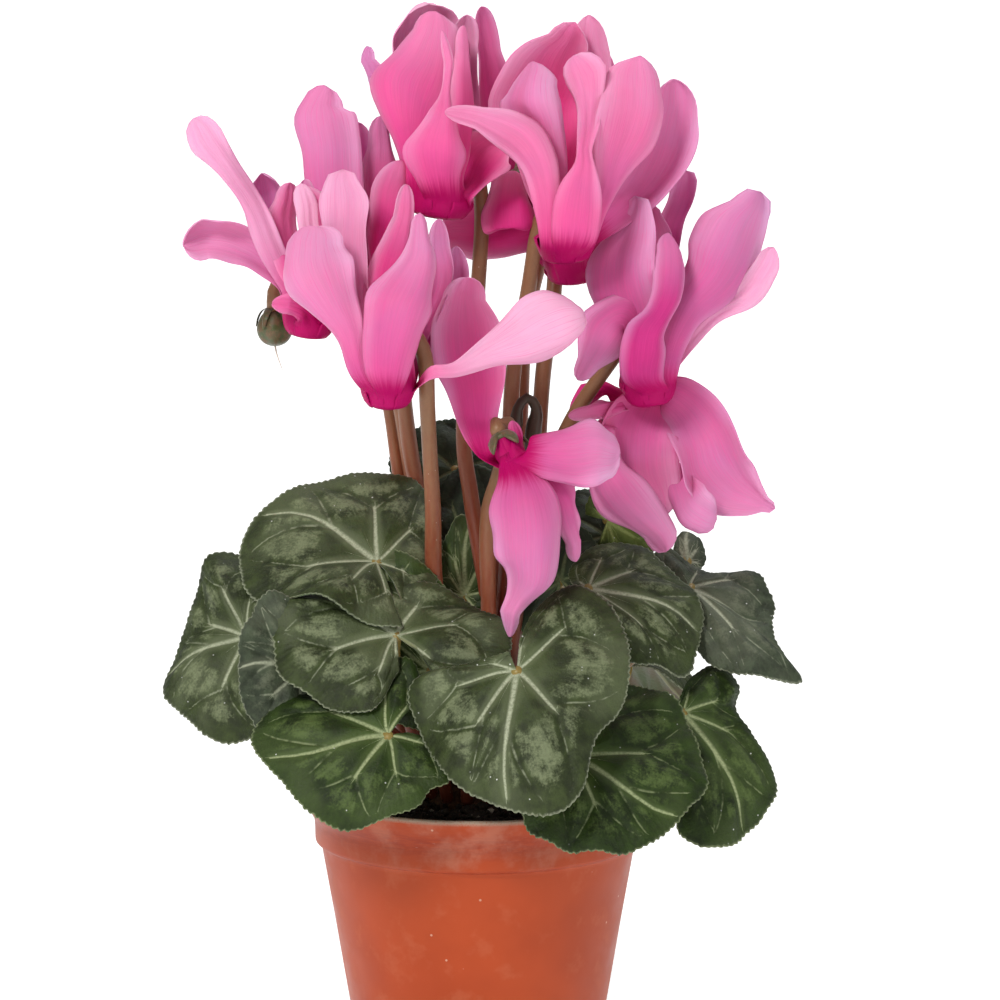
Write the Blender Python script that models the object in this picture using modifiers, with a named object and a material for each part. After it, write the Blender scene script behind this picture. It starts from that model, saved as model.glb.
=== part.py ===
"""A potted cyclamen: a florist's plastic pot, its soil, the corm, and the leaves and flowers it bears."""

import math

import bmesh
import bpy
import numpy as np

MM = 0.001
GAP = 0.3  # clearance between neighbouring pieces, mm

# Pot, mm. The origin is the middle of its foot.
POT_HEIGHT = 92.0
LIP_RADIUS = 52.5
LIP_DEPTH = 9.0
BAND_RADIUS = 47.8
BAND_FOOT = 76.0
BODY_TOP_RADIUS = 46.0
FOOT_RADIUS = 33.0
POT_WALL = 1.3
POT_FLOOR = 2.0
POT_STEPS = 36
SOIL_STEPS = 20
LIP_FLAT = 0.6  # how far the lip's top is rounded off
BAND_SHOULDER = 1.2  # height of the step under the band, inside
DRAIN_HOLES = 5
DRAIN_RADIUS = 3.5
DRAIN_CIRCLE = 21.0
DRAIN_SIDES = 16

# Soil and corm, mm
SOIL_TOP = 87.0
SOIL_CROWN = 88.5
CORM_RADIUS = 19.0
CORM_HALF_HEIGHT = 9.5
CORM_CENTRE = 85.0

# Plant tissue, mm
LEAF_THICKNESS = 0.8
PETAL_THICKNESS = 0.8
LEAF_SPOKES = 16
LEAF_RINGS = 3
PETAL_ROWS = 8
STALK_RADIUS = 1.8
STALK_POINTS = 11
STEM_RADIUS = 2.2
STEM_POINTS = 15
CALYX_RADIUS = 2.7
STALK_CIRCLE = 15.6  # where the leaf stalks leave the corm
MOUTH_RADIUS = 6.6
TUBE_LENGTH = 8.0
TUBE_WALL = 1.0
CLAW_PART = 0.15  # how far along a petal its claw reaches
BEND_LENGTH = 26.0  # the stretch of stem that bends over the flower
LEAF_ARCH = 0.08  # rise of a leaf's doming over its reach
PETAL_CUP = 0.16  # rise of a petal's edges over its half width
PETAL_COLUMNS = 2
TUBE_SIDES = 12
CLAW_WIDTH = 0.62  # half width of a petal's claw over the mouth's radius

UP = np.array((0.0, 0.0, 1.0))
FRONT = np.array((0.0, -1.0, 0.0))

# Each leaf, mm: the point where its stalk meets it, then its edge from one side of the notch
# round to the other.
LEAVES = {
    "left_upper": (
        (-29, -14, 160),
        [(-21, -30, 151), (-17, -8, 160), (-17, 10, 176), (-31, 16, 181), (-57, 10, 176),
         (-69, 0, 163), (-65, -20, 151), (-47, -34, 153), (-35, -38, 150), (-26, -38, 145)],
    ),
    "far_left": (
        (-67, -14, 138),
        [(-64, -4, 147), (-70, 8, 159), (-79, 8, 158), (-83, 4, 144), (-91, -10, 122), (-83, -20, 114),
         (-72, -28, 110), (-61, -34, 114), (-54, -32, 124), (-53, -26, 136), (-57, -16, 144)],
    ),
    "left_front": (
        (-23, -34, 142),
        [(-15, -42, 138), (-10, -48, 132), (-2, -50, 130), (8, -46, 136), (9, -34, 144), (0, -22, 149),
         (-14, -18, 150), (-37, -20, 149), (-56, -30, 147), (-57, -40, 135), (-48, -47, 128),
         (-31, -52, 123), (-22, -44, 134)],
    ),
    "front_left": (
        (-25, -54, 117),
        [(-15, -50, 116), (-7, -54, 113), (-8, -60, 105), (-13, -63, 103), (-18, -66, 98), (-35, -68, 93),
         (-47, -64, 97), (-55, -58, 105), (-63, -48, 113), (-62, -40, 119), (-49, -36, 127),
         (-33, -38, 127), (-20, -44, 123)],
    ),
    "front_middle": (
        (11, -58, 136),
        [(9, -56, 141), (-2, -53, 138), (-13, -54, 130), (-15, -58, 120), (-8, -68, 108), (6, -76, 101),
         (20, -80, 99), (29, -78, 106), (32, -70, 118), (40, -62, 126), (43, -54, 136), (40, -44, 148),
         (31, -38, 156), (23, -38, 155), (16, -44, 150), (12, -52, 143)],
    ),
    "front_right": (
        (27, -54, 111),
        [(19, -56, 113), (13, -60, 106), (13, -66, 96), (19, -68, 89), (38, -69, 86), (53, -64, 92),
         (60, -58, 97), (65, -50, 104), (62, -44, 111), (54, -36, 125), (42, -36, 127), (32, -42, 122)],
    ),
    "right_inner": (
        (32, -18, 153),
        [(28, -22, 151), (27, -8, 156), (36, 0, 160), (45, 2, 157), (62, -6, 149), (65, -14, 141),
         (61, -26, 130), (53, -32, 133), (41, -32, 136), (31, -28, 145)],
    ),
    "far_right": (
        (62, 2, 150),
        [(55, 0, 148), (50, 8, 154), (54, 14, 159), (66, 14, 154), (82, 10, 152), (86, 2, 145),
         (86, -8, 135), (93, -18, 127), (81, -22, 127), (67, -16, 131), (59, -8, 139)],
    ),
    "low_right": (
        (59, -26, 118),
        [(57, -24, 121), (60, -16, 125), (68, -10, 129), (76, -10, 123), (75, -16, 115), (85, -24, 98),
         (82, -34, 90), (74, -42, 84), (63, -46, 83), (56, -44, 88), (58, -40, 102), (57, -34, 113)],
    ),
    "back_centre": (
        (-7, 36, 180),
        [(-3, 28, 172), (12, 34, 173), (15, 42, 182), (6, 46, 191), (-9, 48, 193), (-20, 44, 190),
         (-27, 38, 182), (-24, 31, 176), (-11, 27, 171)],
    ),
    "back_inner": (
        (-5, 26, 161),
        [(-2, 20, 147), (9, 22, 148), (15, 30, 160), (8, 33, 170), (-3, 34, 172), (-10, 34, 170),
         (-16, 26, 161), (-13, 20, 149)],
    ),
    "back_right": (
        (38, 16, 163),
        [(38, 8, 157), (46, 10, 158), (51, 18, 161), (48, 26, 168), (36, 32, 175), (26, 30, 173),
         (22, 20, 164), (29, 8, 157)],
    ),
    "small_back": (
        (62, 26, 154),
        [(60, 22, 151), (58, 30, 157), (61, 34, 162), (66, 34, 160), (68, 30, 154), (65, 24, 150)],
    ),
    "young": (
        (-6, 2, 150),
        [(-8, 0, 151), (-10, 3, 156), (-8, 7, 163), (-4, 9, 167), (-2, 6, 161), (-3, 2, 152)],
    ),
}

# Leaves round the back, mm: stalk point, heading in degrees, length, rise of the heading, fall at the edge
BACK_LEAVES = {
    "rear_left": ((-42, 38, 142), 135, 32, -0.45, 8),
    "rear_middle": ((2, 58, 122), 92, 34, -0.5, 8),
    "rear_right": ((46, 46, 124), 45, 32, -0.45, 8),
}

# Stalks that rise among the flower stems instead of from the ring of stalks: x and y on the crown, mm
INNER_STALKS = {"young": (-1, 3.5)}

# Each flower, mm: the middle of its mouth, the way the mouth faces, the stem's route up to the bend
# over the flower, and its petals: two points along the middle line, the tip, the half width, and
# three turns about that line in degrees (0 shows the petal's face to the front).
FLOWERS = {
    "far_left": dict(
        mouth=(-49, 2, 228), faces=(-3, -4, -8),
        stem=[
            (-6, 7.5, 110), (-17, 24, 150), (-22, 24, 182), (-29, 18, 212),
            (-36, 10, 230), (-40, 6, 241), (-43, 5, 242),
        ],
        petals=[
            ((-50, -6, 233), (-54, -9, 234), (-59, -9, 234), 2.5, (60, 50, 40)),
            ((-55, 0, 244), (-70, 4, 249), (-85, 6, 249), 8, (30, 15, 10)),
            ((-55, -3, 248), (-65, -6, 264), (-78, -8, 283), 6.5, (60, 55, 15)),
            ((-59, 12, 247), (-63, 16, 260), (-68, 17, 270), 7.5, (10, 10, 10)),
            ((-55, 17, 243), (-56, 19, 254), (-58, 19, 262), 6, (10, 10, 10)),
        ],
    ),
    "left_front": dict(
        mouth=(-25, -36, 212), faces=(0, -3, -9),
        stem=[
            (-3, -9, 110), (-12, -8, 148), (-13, -20, 179),
            (-14, -30, 206), (-15, -32, 222), (-20, -32, 229),
        ],
        petals=[
            ((-24, -44, 226), (-23, -44, 240), (-16, -38, 260), 10, (5, 15, 45)),
            ((-34, -40, 227), (-44, -40, 242), (-45, -34, 255), 13, (0, 0, 10)),
            ((-34, -24, 231), (-37, -18, 252), (-39, -14, 270), 7.5, (0, 5, 10)),
            ((-16, -22, 228), (-11, -20, 243), (-11, -16, 257), 7, (40, 40, 40)),
            ((-10, -40, 217), (8, -40, 225), (28, -36, 231), 12, (80, 25, 0)),
        ],
    ),
    "back_left": dict(
        mouth=(-30, -6, 235), faces=(0, -3, -9),
        stem=[
            (-6, 1, 110), (-12, 13, 140), (-17, 19, 170), (-21, 15, 196),
            (-23, 7, 228), (-24, 6, 244), (-27, 4, 251),
        ],
        petals=[
            ((-27, -12, 244), (-24, -12, 257), (-22, -8, 273), 6.5, (30, 40, 50)),
            ((-41, -8, 245), (-46, -10, 257), (-50, -9, 267), 4.5, (30, 30, 30)),
            ((-38, 2, 256), (-44, 4, 276), (-44, 2, 293), 11.5, (10, 5, 0)),
            ((-33, 10, 257), (-32, 12, 273), (-29, 12, 286), 7, (10, 10, 10)),
            ((-21, -2, 246), (-15, -1, 251), (-8, -2, 250), 6, (30, 30, 30)),
        ],
    ),
    "top_left": dict(
        mouth=(-11, -4, 263), faces=(-3, -5, -8),
        stem=[
            (0, -3, 110), (3, -2, 142), (-2, -4, 177), (-4, -2, 198),
            (0, 3, 237), (1, 5, 263), (-3, 5, 275),
        ],
        petals=[
            ((-12, -14, 276), (-8, -14, 290), (-10, -8, 310), 8, (5, 25, 65)),
            ((-17, -8, 278), (-20, -8, 294), (-15, 0, 316), 13.5, (0, 0, 0)),
            ((-15, 8, 280), (-19, 12, 299), (-22, 8, 319), 11, (0, 0, 0)),
            ((-6, 11, 283), (-3, 12, 300), (-5, 9, 316), 8, (10, 0, 0)),
            ((2, -3, 270), (7, 0, 276), (14, 4, 282), 8, (20, 20, 20)),
        ],
    ),
    "top_right": dict(
        mouth=(25, -16, 251), faces=(1, -4, -8),
        stem=[
            (5, 0, 110), (8, 2, 150), (9, 3, 180), (10, 3, 211),
            (14, 2, 234), (17, 0, 253), (21, -3, 265), (23, -7, 265),
        ],
        petals=[
            ((27, -24, 262), (31, -24, 279), (29, -16, 303), 8, (0, 65, 175)),
            ((19, -22, 267), (10, -24, 281), (-8, -22, 287), 10.5, (0, 0, 20)),
            ((16, -15, 267), (15, -9, 284), (12, -4, 301), 9.5, (0, 0, 0)),
            ((41, -2, 268), (54, 2, 280), (57, 2, 296), 8, (0, 0, 0)),
            ((36, -16, 264), (43, -14, 283), (46, -8, 304), 12, (0, 0, 0)),
        ],
    ),
    "back_centre": dict(
        mouth=(11, 18, 260), faces=(-4, -6, -7),
        stem=[
            (2, 9, 110), (7, 15, 150), (12, 19, 190), (14, 22, 225),
            (20, 31, 250), (23, 34, 261), (21, 30, 270),
        ],
        petals=[
            ((6, 11, 255), (0, 12, 249), (-8, 13, 248), 7, (20, 20, 20)),
            ((2, 14, 264), (0, 18, 277), (3, 20, 317), 5, (10, 10, 10)),
            ((7, 26, 276), (12, 32, 294), (23, 28, 312), 12.5, (0, 0, 0)),
            ((25, 30, 276), (30, 36, 296), (33, 32, 316), 7.5, (0, 0, 0)),
            ((20, 20, 274), (24, 22, 288), (31, 22, 303), 8, (0, 0, 0)),
        ],
    ),
    "behind_right": dict(
        mouth=(27, 10, 243), faces=(1, -3, -9),
        stem=[
            (9.5, 3.5, 110), (14, 6, 150), (17, 7, 180), (19, 9, 212),
            (22, 16, 233), (23, 21, 246), (25, 18, 256),
        ],
        petals=[
            ((29, 3, 256), (32, 5, 269), (35, 6, 280), 7, (0, 0, 0)),
            ((19, 8, 256), (20, 6, 268), (20, 5, 279), 6, (0, 0, 0)),
            ((32, 22, 256), (35, 28, 266), (37, 30, 274), 7, (0, 0, 0)),
            ((38, 19, 255), (43, 27, 267), (46, 29, 279), 8, (0, 0, 0)),
            ((36, 13, 251), (41, 21, 262), (46, 24, 268), 6, (0, 0, 0)),
        ],
    ),
    "right": dict(
        mouth=(49, -12, 210), faces=(2, -3, -9),
        stem=[(10, -2.5, 110), (14, -2, 145), (18, 0, 175), (27, 0, 199), (40, -3, 219), (44, -6, 226)],
        petals=[
            ((47, -20, 222), (53, -20, 236), (55, -14, 254), 7.5, (0, 20, 40)),
            ((40, -12, 222), (36, -11, 236), (36, -8, 250), 10.5, (0, 0, 0)),
            ((48, 4, 231), (49, 7, 246), (48, 4, 263), 10, (0, 0, 0)),
            ((54, 16, 230), (56, 20, 250), (60, 18, 271), 5.5, (40, 40, 40)),
            ((59, -12, 227), (70, -12, 246), (82, -8, 262), 13, (0, 0, 0)),
        ],
    ),
    "low_right": dict(
        mouth=(46, 6, 199), faces=(3, -8, 2),
        stem=[(7.5, 8.5, 110), (14, 13, 145), (22, 18, 170), (33, 21, 188), (40, 19, 197)],
        petals=[
            ((46, -18, 196), (49, -20, 189), (56, -18, 181), 10, (0, 0, 0)),
            ((40, -14, 205), (33, -14, 205), (27, -12, 202), 4, (60, 60, 60)),
            ((43, -10, 190), (47, -12, 176), (54, -10, 164), 8, (0, 0, 0)),
            ((53, -4, 185), (61, -6, 175), (65, -6, 170), 7, (0, 0, 0)),
            ((61, -14, 200), (72, -16, 189), (83, -14, 176), 13, (0, 0, 0)),
        ],
    ),
    "middle": dict(
        mouth=(10, -34, 192), faces=(4, -3, -8),
        stem=[
            (3.5, -8.5, 110), (3, -9, 150), (3, -10, 172), (7, -14, 188),
            (12, -19, 206), (12, -24, 214), (9, -29, 210),
        ],
        petals=[
            ((11, -44, 182), (14, -46, 167), (8, -44, 150), 11, (0, 0, 60)),
            ((-4, -33, 203), (-2, -23, 222), (0, -18, 241), 8.5, (10, 20, 30)),
            ((15, -32, 199), (14, -32, 202), (12, -31, 206), 3.5, (0, 0, 0)),
            ((21, -38, 197), (30, -40, 196), (39, -36, 198), 10.5, (0, 0, 0)),
            ((21, -36, 184), (26, -36, 174), (28, -34, 165), 6, (0, 20, 50)),
        ],
    ),
}

CAPSULE_CENTRE = (-60, 24, 224)
CAPSULE_RADIUS = 5.2
CAPSULE_STEM = [
    (-10.5, 4.5, 110), (-24, 26, 150), (-33, 28, 190),
    (-48, 26, 224), (-57, 25, 237), (-60, 24, 236),
]
BUD_STEM = [
    (8.5, -8, 110), (12, -9, 150), (15, -9, 180), (19, -8, 200),
    (17, -9, 207), (12, -10, 205), (12, -11, 198),
]

COLOURS = {
    "pot": ((0.50, 0.105, 0.035), 0.42),
    "soil": ((0.018, 0.012, 0.009), 0.95),
    "corm": ((0.10, 0.055, 0.03), 0.85),
    "leaf": ((0.045, 0.085, 0.035), 0.55),
    "stalk": ((0.21, 0.065, 0.03), 0.5),
    "stem": ((0.24, 0.08, 0.035), 0.45),
    "petal": ((0.80, 0.17, 0.40), 0.45),
    "capsule": ((0.10, 0.10, 0.03), 0.5),
}


def unit(vector):
    return vector / np.linalg.norm(vector)


def smooth_path(points, count):
    """Evenly timed places on a Catmull-Rom curve through the points."""
    points = np.asarray(points, float)
    ends = (2 * points[0] - points[1], 2 * points[-1] - points[-2])
    padded = np.vstack((ends[0], points, ends[1]))
    out = []
    for place in np.linspace(0, len(points) - 1, count):
        i = min(int(place), len(points) - 2)
        t = place - i
        a, b, c, d = padded[i:i + 4]
        second = 2 * a - 5 * b + 4 * c - d
        third = 3 * b - a - 3 * c + d
        out.append(0.5 * (2 * b + (c - a) * t + second * t**2 + third * t**3))
    return np.array(out)


def even_path(points, count, bend=0.0):
    """The same curve, with its places at even distances, or half of them in a bend at its end."""
    fine = smooth_path(points, 240)
    along = np.concatenate(([0.0], np.cumsum(np.linalg.norm(np.diff(fine, axis=0), axis=1))))
    if bend:
        start = along[-1] - bend
        wanted = np.concatenate((np.linspace(0, start, count // 2, endpoint=False),
                                 np.linspace(start, along[-1], count - count // 2)))
    else:
        wanted = np.linspace(0, along[-1], count)
    return np.stack([np.interp(wanted, along, fine[:, k]) for k in range(3)], axis=1)


def leaf_normal(hub, rim):
    """The side of the leaf that looks up or to the front."""
    arms = rim - hub
    area = np.cross(arms[:-1], arms[1:]).sum(axis=0)
    facing = area @ (UP + 0.7 * FRONT)
    return unit(area if facing > 0 else -area)


def leaf_grid(hub, rim, spokes, rings):
    """Rows of points from the stalk point out to the edge, gently domed."""
    hub = np.asarray(hub, float)
    edge = even_path(rim, spokes + 1)
    normal = leaf_normal(hub, edge)
    rows = []
    for ring in range(1, rings + 1):
        s = ring / rings
        reach = edge - hub
        lift = LEAF_ARCH * 4 * s * (1 - s) * np.linalg.norm(reach, axis=1)
        rows.append(hub + reach * s + lift[:, None] * normal)
    return rows, normal


def back_leaf_rim(hub, heading, length, rise, fall):
    """A heart-shaped edge round a stalk point, falling towards its edge."""
    hub = np.asarray(hub, float)
    turn = math.radians(heading)
    ahead = unit(np.array((math.cos(turn), math.sin(turn), rise)))
    side = unit(np.cross(ahead, UP))
    down = -unit(np.cross(side, ahead))
    points = []
    for angle in np.radians(np.linspace(-160, 160, 13)):
        reach = length * (0.80 + 0.20 * math.cos(angle))
        points.append(hub + reach * (math.cos(angle) * ahead + math.sin(angle) * side) + fall * down)
    return points


def ring_directions(mouth, axis, petals, stem):
    """Even directions round the mouth, one near each petal and one left free for the stem."""
    first = unit(np.cross(axis, (1.0, 0.3, 0.2)))
    second = np.cross(axis, first)
    angles = []
    for point in [petal[0] for petal in petals] + [stem[-3]]:
        reach = np.asarray(point, float) - mouth
        angles.append(math.atan2(reach @ second, reach @ first))
    order = [int(k) for k in np.argsort(angles)]
    step = 2 * math.pi / len(angles)
    start = angles[-1] - step * order.index(len(petals))
    directions = [None] * len(angles)
    for place, k in enumerate(order):
        turn = start + step * place
        directions[k] = math.cos(turn) * first + math.sin(turn) * second
    return directions[:-1]


def petal_width(t, half_width, base, widest=0.64, blunt=0.55):
    """Half the petal's width at t along it: a narrow claw, a broad limb, a rounded tip."""
    if t < widest:
        s = max(t - CLAW_PART, 0.0) / (widest - CLAW_PART)
        return base + (half_width - base) * math.sin(s * math.pi / 2) ** 1.3
    s = (t - widest) / (1 - widest)
    return half_width * max(1 - s * s, 0.0) ** blunt


def petal_grid(mouth, axis, outward, petal, rows, columns):
    """Rows of points across a petal that folds back over the rim of its tube."""
    first, second, tip, half_width, turns = petal
    first = np.asarray(first, float)
    towards = unit(first - mouth)
    claw = [
        mouth + outward * (MOUTH_RADIUS - 1.5) - axis * 1.0,
        mouth + outward * (MOUTH_RADIUS + 1.0) - axis * 0.6,
        mouth + outward * (MOUTH_RADIUS + 1.6) + towards * 3.5,
    ]
    line = even_path(claw + [first, second, tip], rows)
    across = np.cross(axis, outward)
    tangents = np.gradient(line, axis=0)
    sides = []
    for tangent in tangents:
        tangent = unit(tangent)
        across = unit(across - tangent * (across @ tangent))
        sides.append(across)
    # The turns bring the sides round from the mouth to where the petal should show its face.
    keys, wanted = [0.0, CLAW_PART], [0.0, 0.0]
    for place, turn in zip((0.40, 0.70, 1.0), turns):
        k = int(round(place * (rows - 1)))
        tangent = unit(tangents[k])
        level = np.cross(tangent, FRONT)
        if np.linalg.norm(level) < 0.2:
            level = np.cross(tangent, UP)
        level = unit(level)
        turn = math.radians(turn)
        goal = level * math.cos(turn) + np.cross(tangent, level) * math.sin(turn)
        angle = math.atan2(goal @ np.cross(tangent, sides[k]), goal @ sides[k])
        while angle - wanted[-1] > math.pi / 2:
            angle -= math.pi
        while angle - wanted[-1] < -math.pi / 2:
            angle += math.pi
        keys.append(place)
        wanted.append(angle)
    grid = []
    base = CLAW_WIDTH * MOUTH_RADIUS
    for row in range(rows):
        t = row / (rows - 1)
        tangent = unit(tangents[row])
        angle = np.interp(t, keys, wanted)
        side = sides[row] * math.cos(angle) + np.cross(tangent, sides[row]) * math.sin(angle)
        face = np.cross(side, tangent)
        width = max(petal_width(t, half_width, min(base, half_width)), 0.12 * half_width)
        points = []
        for column in range(columns + 1):
            v = 2 * column / columns - 1
            points.append(line[row] + side * v * width + face * PETAL_CUP * width * v * v)
        grid.append(points)
    return np.array(grid)


def material(name):
    """The Principled material of one kind of piece, made once."""
    if name in bpy.data.materials:
        return bpy.data.materials[name]
    made = bpy.data.materials.new(name)
    made.use_nodes = True
    shader = made.node_tree.nodes["Principled BSDF"]
    colour, roughness = COLOURS[name]
    shader.inputs["Base Color"].default_value = (*colour, 1.0)
    shader.inputs["Roughness"].default_value = roughness
    shader.inputs["Metallic"].default_value = 0.0
    made.diffuse_color = (*colour, 1.0)
    return made


def add_object(name, data, kind, collection):
    made = bpy.data.objects.new(name, data)
    collection.objects.link(made)
    data.materials.append(material(kind))
    return made


def as_cutter(made):
    made.hide_render = True
    made.display_type = "WIRE"
    return made


def grid_mesh(name, rows, hub=None):
    """A mesh over rows of points, closed to a hub point where one is given."""
    rows = np.asarray(rows) * MM
    count = rows.shape[1]
    vertices = [tuple(point) for row in rows for point in row]
    faces = []
    for i in range(len(rows) - 1):
        for j in range(count - 1):
            a = i * count + j
            faces.append((a, a + 1, a + count + 1, a + count))
    if hub is not None:
        vertices.append(tuple(np.asarray(hub, float) * MM))
        centre = len(vertices) - 1
        faces.extend((centre, j + 1, j) for j in range(count - 1))
    mesh = bpy.data.meshes.new(name)
    mesh.from_pydata(vertices, [], faces)
    mesh.validate()
    mesh.shade_smooth()
    return mesh


def solidify(made, thickness):
    shell = made.modifiers.new("Thickness", "SOLIDIFY")
    shell.thickness = thickness * MM
    shell.offset = 0.0
    shell.use_even_offset = False


def turned(name, profile, kind, collection, steps):
    """A profile of (radius, height) points turned about the vertical axis."""
    mesh = bpy.data.meshes.new(name)
    points = [(radius * MM, 0.0, height * MM) for radius, height in profile]
    mesh.from_pydata(points, [(i, i + 1) for i in range(len(points) - 1)], [])
    made = add_object(name, mesh, kind, collection)
    screw = made.modifiers.new("Turn", "SCREW")
    screw.steps = steps
    screw.render_steps = steps
    screw.use_merge_vertices = True
    screw.merge_threshold = 0.00001
    return made


def tube(name, places, radii, kind, collection):
    """A round stem along the places, with a radius for each."""
    curve = bpy.data.curves.new(name, "CURVE")
    curve.dimensions = "3D"
    curve.bevel_depth = MM
    curve.bevel_resolution = 1
    curve.use_fill_caps = True
    spline = curve.splines.new("POLY")
    spline.points.add(len(places) - 1)
    for point, place, radius in zip(spline.points, places, radii):
        point.co = (*(place * MM), 1.0)
        point.radius = radius
    return add_object(name, curve, kind, collection)


def corm_surface(radius):
    """Height of the corm's skin at this distance from its axis."""
    return CORM_CENTRE + CORM_HALF_HEIGHT * math.sqrt(max(1 - (radius / CORM_RADIUS) ** 2, 0.0))


def crown_point(x, y, radius):
    """Where a stem of this radius stands on the corm, clear of its slope."""
    reach = max(math.hypot(x, y) - 0.6 * radius, 0.0)
    return (x, y, corm_surface(reach) + GAP)


def make_pot(collection, cutters):
    inner_foot = FOOT_RADIUS - POT_WALL
    profile = [
        (0.0, POT_FLOOR),
        (inner_foot, POT_FLOOR),
        (BODY_TOP_RADIUS - POT_WALL, BAND_FOOT),
        (BAND_RADIUS - POT_WALL, BAND_FOOT + BAND_SHOULDER),
        (BAND_RADIUS - POT_WALL + 0.3, POT_HEIGHT - LIP_DEPTH),
        (LIP_RADIUS - POT_WALL, POT_HEIGHT - LIP_FLAT),
        (LIP_RADIUS - LIP_FLAT, POT_HEIGHT),
        (LIP_RADIUS, POT_HEIGHT - LIP_FLAT),
        (BAND_RADIUS + 1.6, POT_HEIGHT - LIP_DEPTH + 3.0),
        (BAND_RADIUS + 0.3, POT_HEIGHT - LIP_DEPTH),
        (BAND_RADIUS, BAND_FOOT),
        (BODY_TOP_RADIUS, BAND_FOOT - 1.0),
        (FOOT_RADIUS + 0.4, 2.0),
        (FOOT_RADIUS - 0.6, 0.0),
        (0.0, 0.0),
    ]
    pot = turned("pot", profile, "pot", collection, POT_STEPS)
    for hole in range(DRAIN_HOLES):
        turn = 2 * math.pi * hole / DRAIN_HOLES
        place = (DRAIN_CIRCLE * math.cos(turn), DRAIN_CIRCLE * math.sin(turn), POT_FLOOR / 2)
        bpy.ops.mesh.primitive_cylinder_add(
            vertices=DRAIN_SIDES,
            radius=DRAIN_RADIUS * MM,
            depth=4 * POT_FLOOR * MM,
            location=tuple(value * MM for value in place),
        )
        cutter = as_cutter(bpy.context.object)
        cutter.name = f"drain_cutter_{hole + 1}"
        for holder in list(cutter.users_collection):
            holder.objects.unlink(cutter)
        cutters.objects.link(cutter)
        cut = pot.modifiers.new(f"Drain {hole + 1}", "BOOLEAN")
        cut.operation = "DIFFERENCE"
        cut.solver = "EXACT"
        cut.object = cutter


def make_soil(collection):
    """The soil fills the pot's taper and leaves a round bed for the corm."""
    bed = []
    bed_radius = CORM_RADIUS + 2.5 * GAP
    bed_half_height = CORM_HALF_HEIGHT + GAP
    rim_angle = math.asin((SOIL_CROWN - CORM_CENTRE) / bed_half_height)
    for angle in np.linspace(-math.pi / 2, rim_angle, 7):
        bed.append((bed_radius * math.cos(angle), CORM_CENTRE + bed_half_height * math.sin(angle)))
    bed[0] = (0.0, bed[0][1])
    inner_foot = FOOT_RADIUS - POT_WALL - GAP - 0.2
    body_top = BODY_TOP_RADIUS - POT_WALL - GAP - 0.2
    band = BAND_RADIUS - POT_WALL - GAP - 0.2
    profile = bed + [
        (32.0, SOIL_CROWN - 0.6),
        (band - 1.5, SOIL_TOP),
        (band, SOIL_TOP - 5.0),
        (band, BAND_FOOT + 2.2),
        (body_top - 0.3, BAND_FOOT - 0.2),
        (inner_foot, POT_FLOOR + GAP),
        (0.0, POT_FLOOR + GAP),
    ]
    turned("soil", profile, "soil", collection, SOIL_STEPS)


def make_corm(collection):
    mesh = bpy.data.meshes.new("corm")
    builder = bmesh.new()
    bmesh.ops.create_uvsphere(builder, u_segments=18, v_segments=8, radius=CORM_RADIUS * MM)
    squash = CORM_HALF_HEIGHT / CORM_RADIUS
    bmesh.ops.scale(builder, vec=(1.0, 1.0, squash), verts=builder.verts)
    bmesh.ops.translate(builder, vec=(0.0, 0.0, CORM_CENTRE * MM), verts=builder.verts)
    builder.to_mesh(mesh)
    builder.free()
    add_object("corm", mesh, "corm", collection)


def all_leaves():
    """Name, stalk point and edge of every leaf."""
    leaves = [(name, hub, rim) for name, (hub, rim) in LEAVES.items()]
    for name, (hub, heading, length, rise, fall) in BACK_LEAVES.items():
        leaves.append((name, hub, back_leaf_rim(hub, heading, length, rise, fall)))
    return leaves


def stalk_starts(leaves):
    """An even place on the crown for each stalk, in the order of the leaves round the plant."""
    outer = [(math.atan2(hub[1], hub[0]), name) for name, hub, _ in leaves if name not in INNER_STALKS]
    starts = dict(INNER_STALKS)
    for place, (_, name) in enumerate(sorted(outer)):
        turn = 2 * math.pi * (place + 0.5) / len(outer) - math.pi
        starts[name] = (STALK_CIRCLE * math.cos(turn), STALK_CIRCLE * math.sin(turn))
    return starts


def stalk_route(start, hub, normal):
    """From the crown out under the leaf and up to its stalk point."""
    hub = np.asarray(hub, float)
    foot = np.array(crown_point(start[0], start[1], STALK_RADIUS))
    end = hub - normal * (LEAF_THICKNESS / 2 + GAP + 0.3)
    below = hub - normal * 12.0
    rise = foot + np.array((0.35 * start[0], 0.35 * start[1], 14.0))
    middle = (rise + below) / 2 + np.array((0.0, 0.0, 2.0))
    return even_path([foot, rise, middle, below, end], STALK_POINTS)


def make_leaves(collection):
    leaves = all_leaves()
    starts = stalk_starts(leaves)
    for name, hub, rim in leaves:
        rows, normal = leaf_grid(hub, rim, LEAF_SPOKES, LEAF_RINGS)
        blade = add_object(f"leaf_{name}", grid_mesh(f"leaf_{name}", rows, hub), "leaf", collection)
        solidify(blade, LEAF_THICKNESS)
        route = stalk_route(starts[name], hub, normal)
        radii = np.linspace(STALK_RADIUS, 0.75 * STALK_RADIUS, STALK_POINTS)
        tube(f"leaf_stalk_{name}", route, radii, "stalk", collection)


def stem_route(flower, axis, mouth):
    """From the crown up the stem's own route and over into the back of the flower."""
    through = [np.asarray(point, float) for point in flower["stem"]]
    foot = np.array(crown_point(through[0][0], through[0][1], STEM_RADIUS))
    end = mouth - axis * (TUBE_LENGTH + GAP + 0.1)
    before = mouth - axis * (TUBE_LENGTH + 4.0)
    return even_path([foot] + through + [before, end], STEM_POINTS, BEND_LENGTH)


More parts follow.
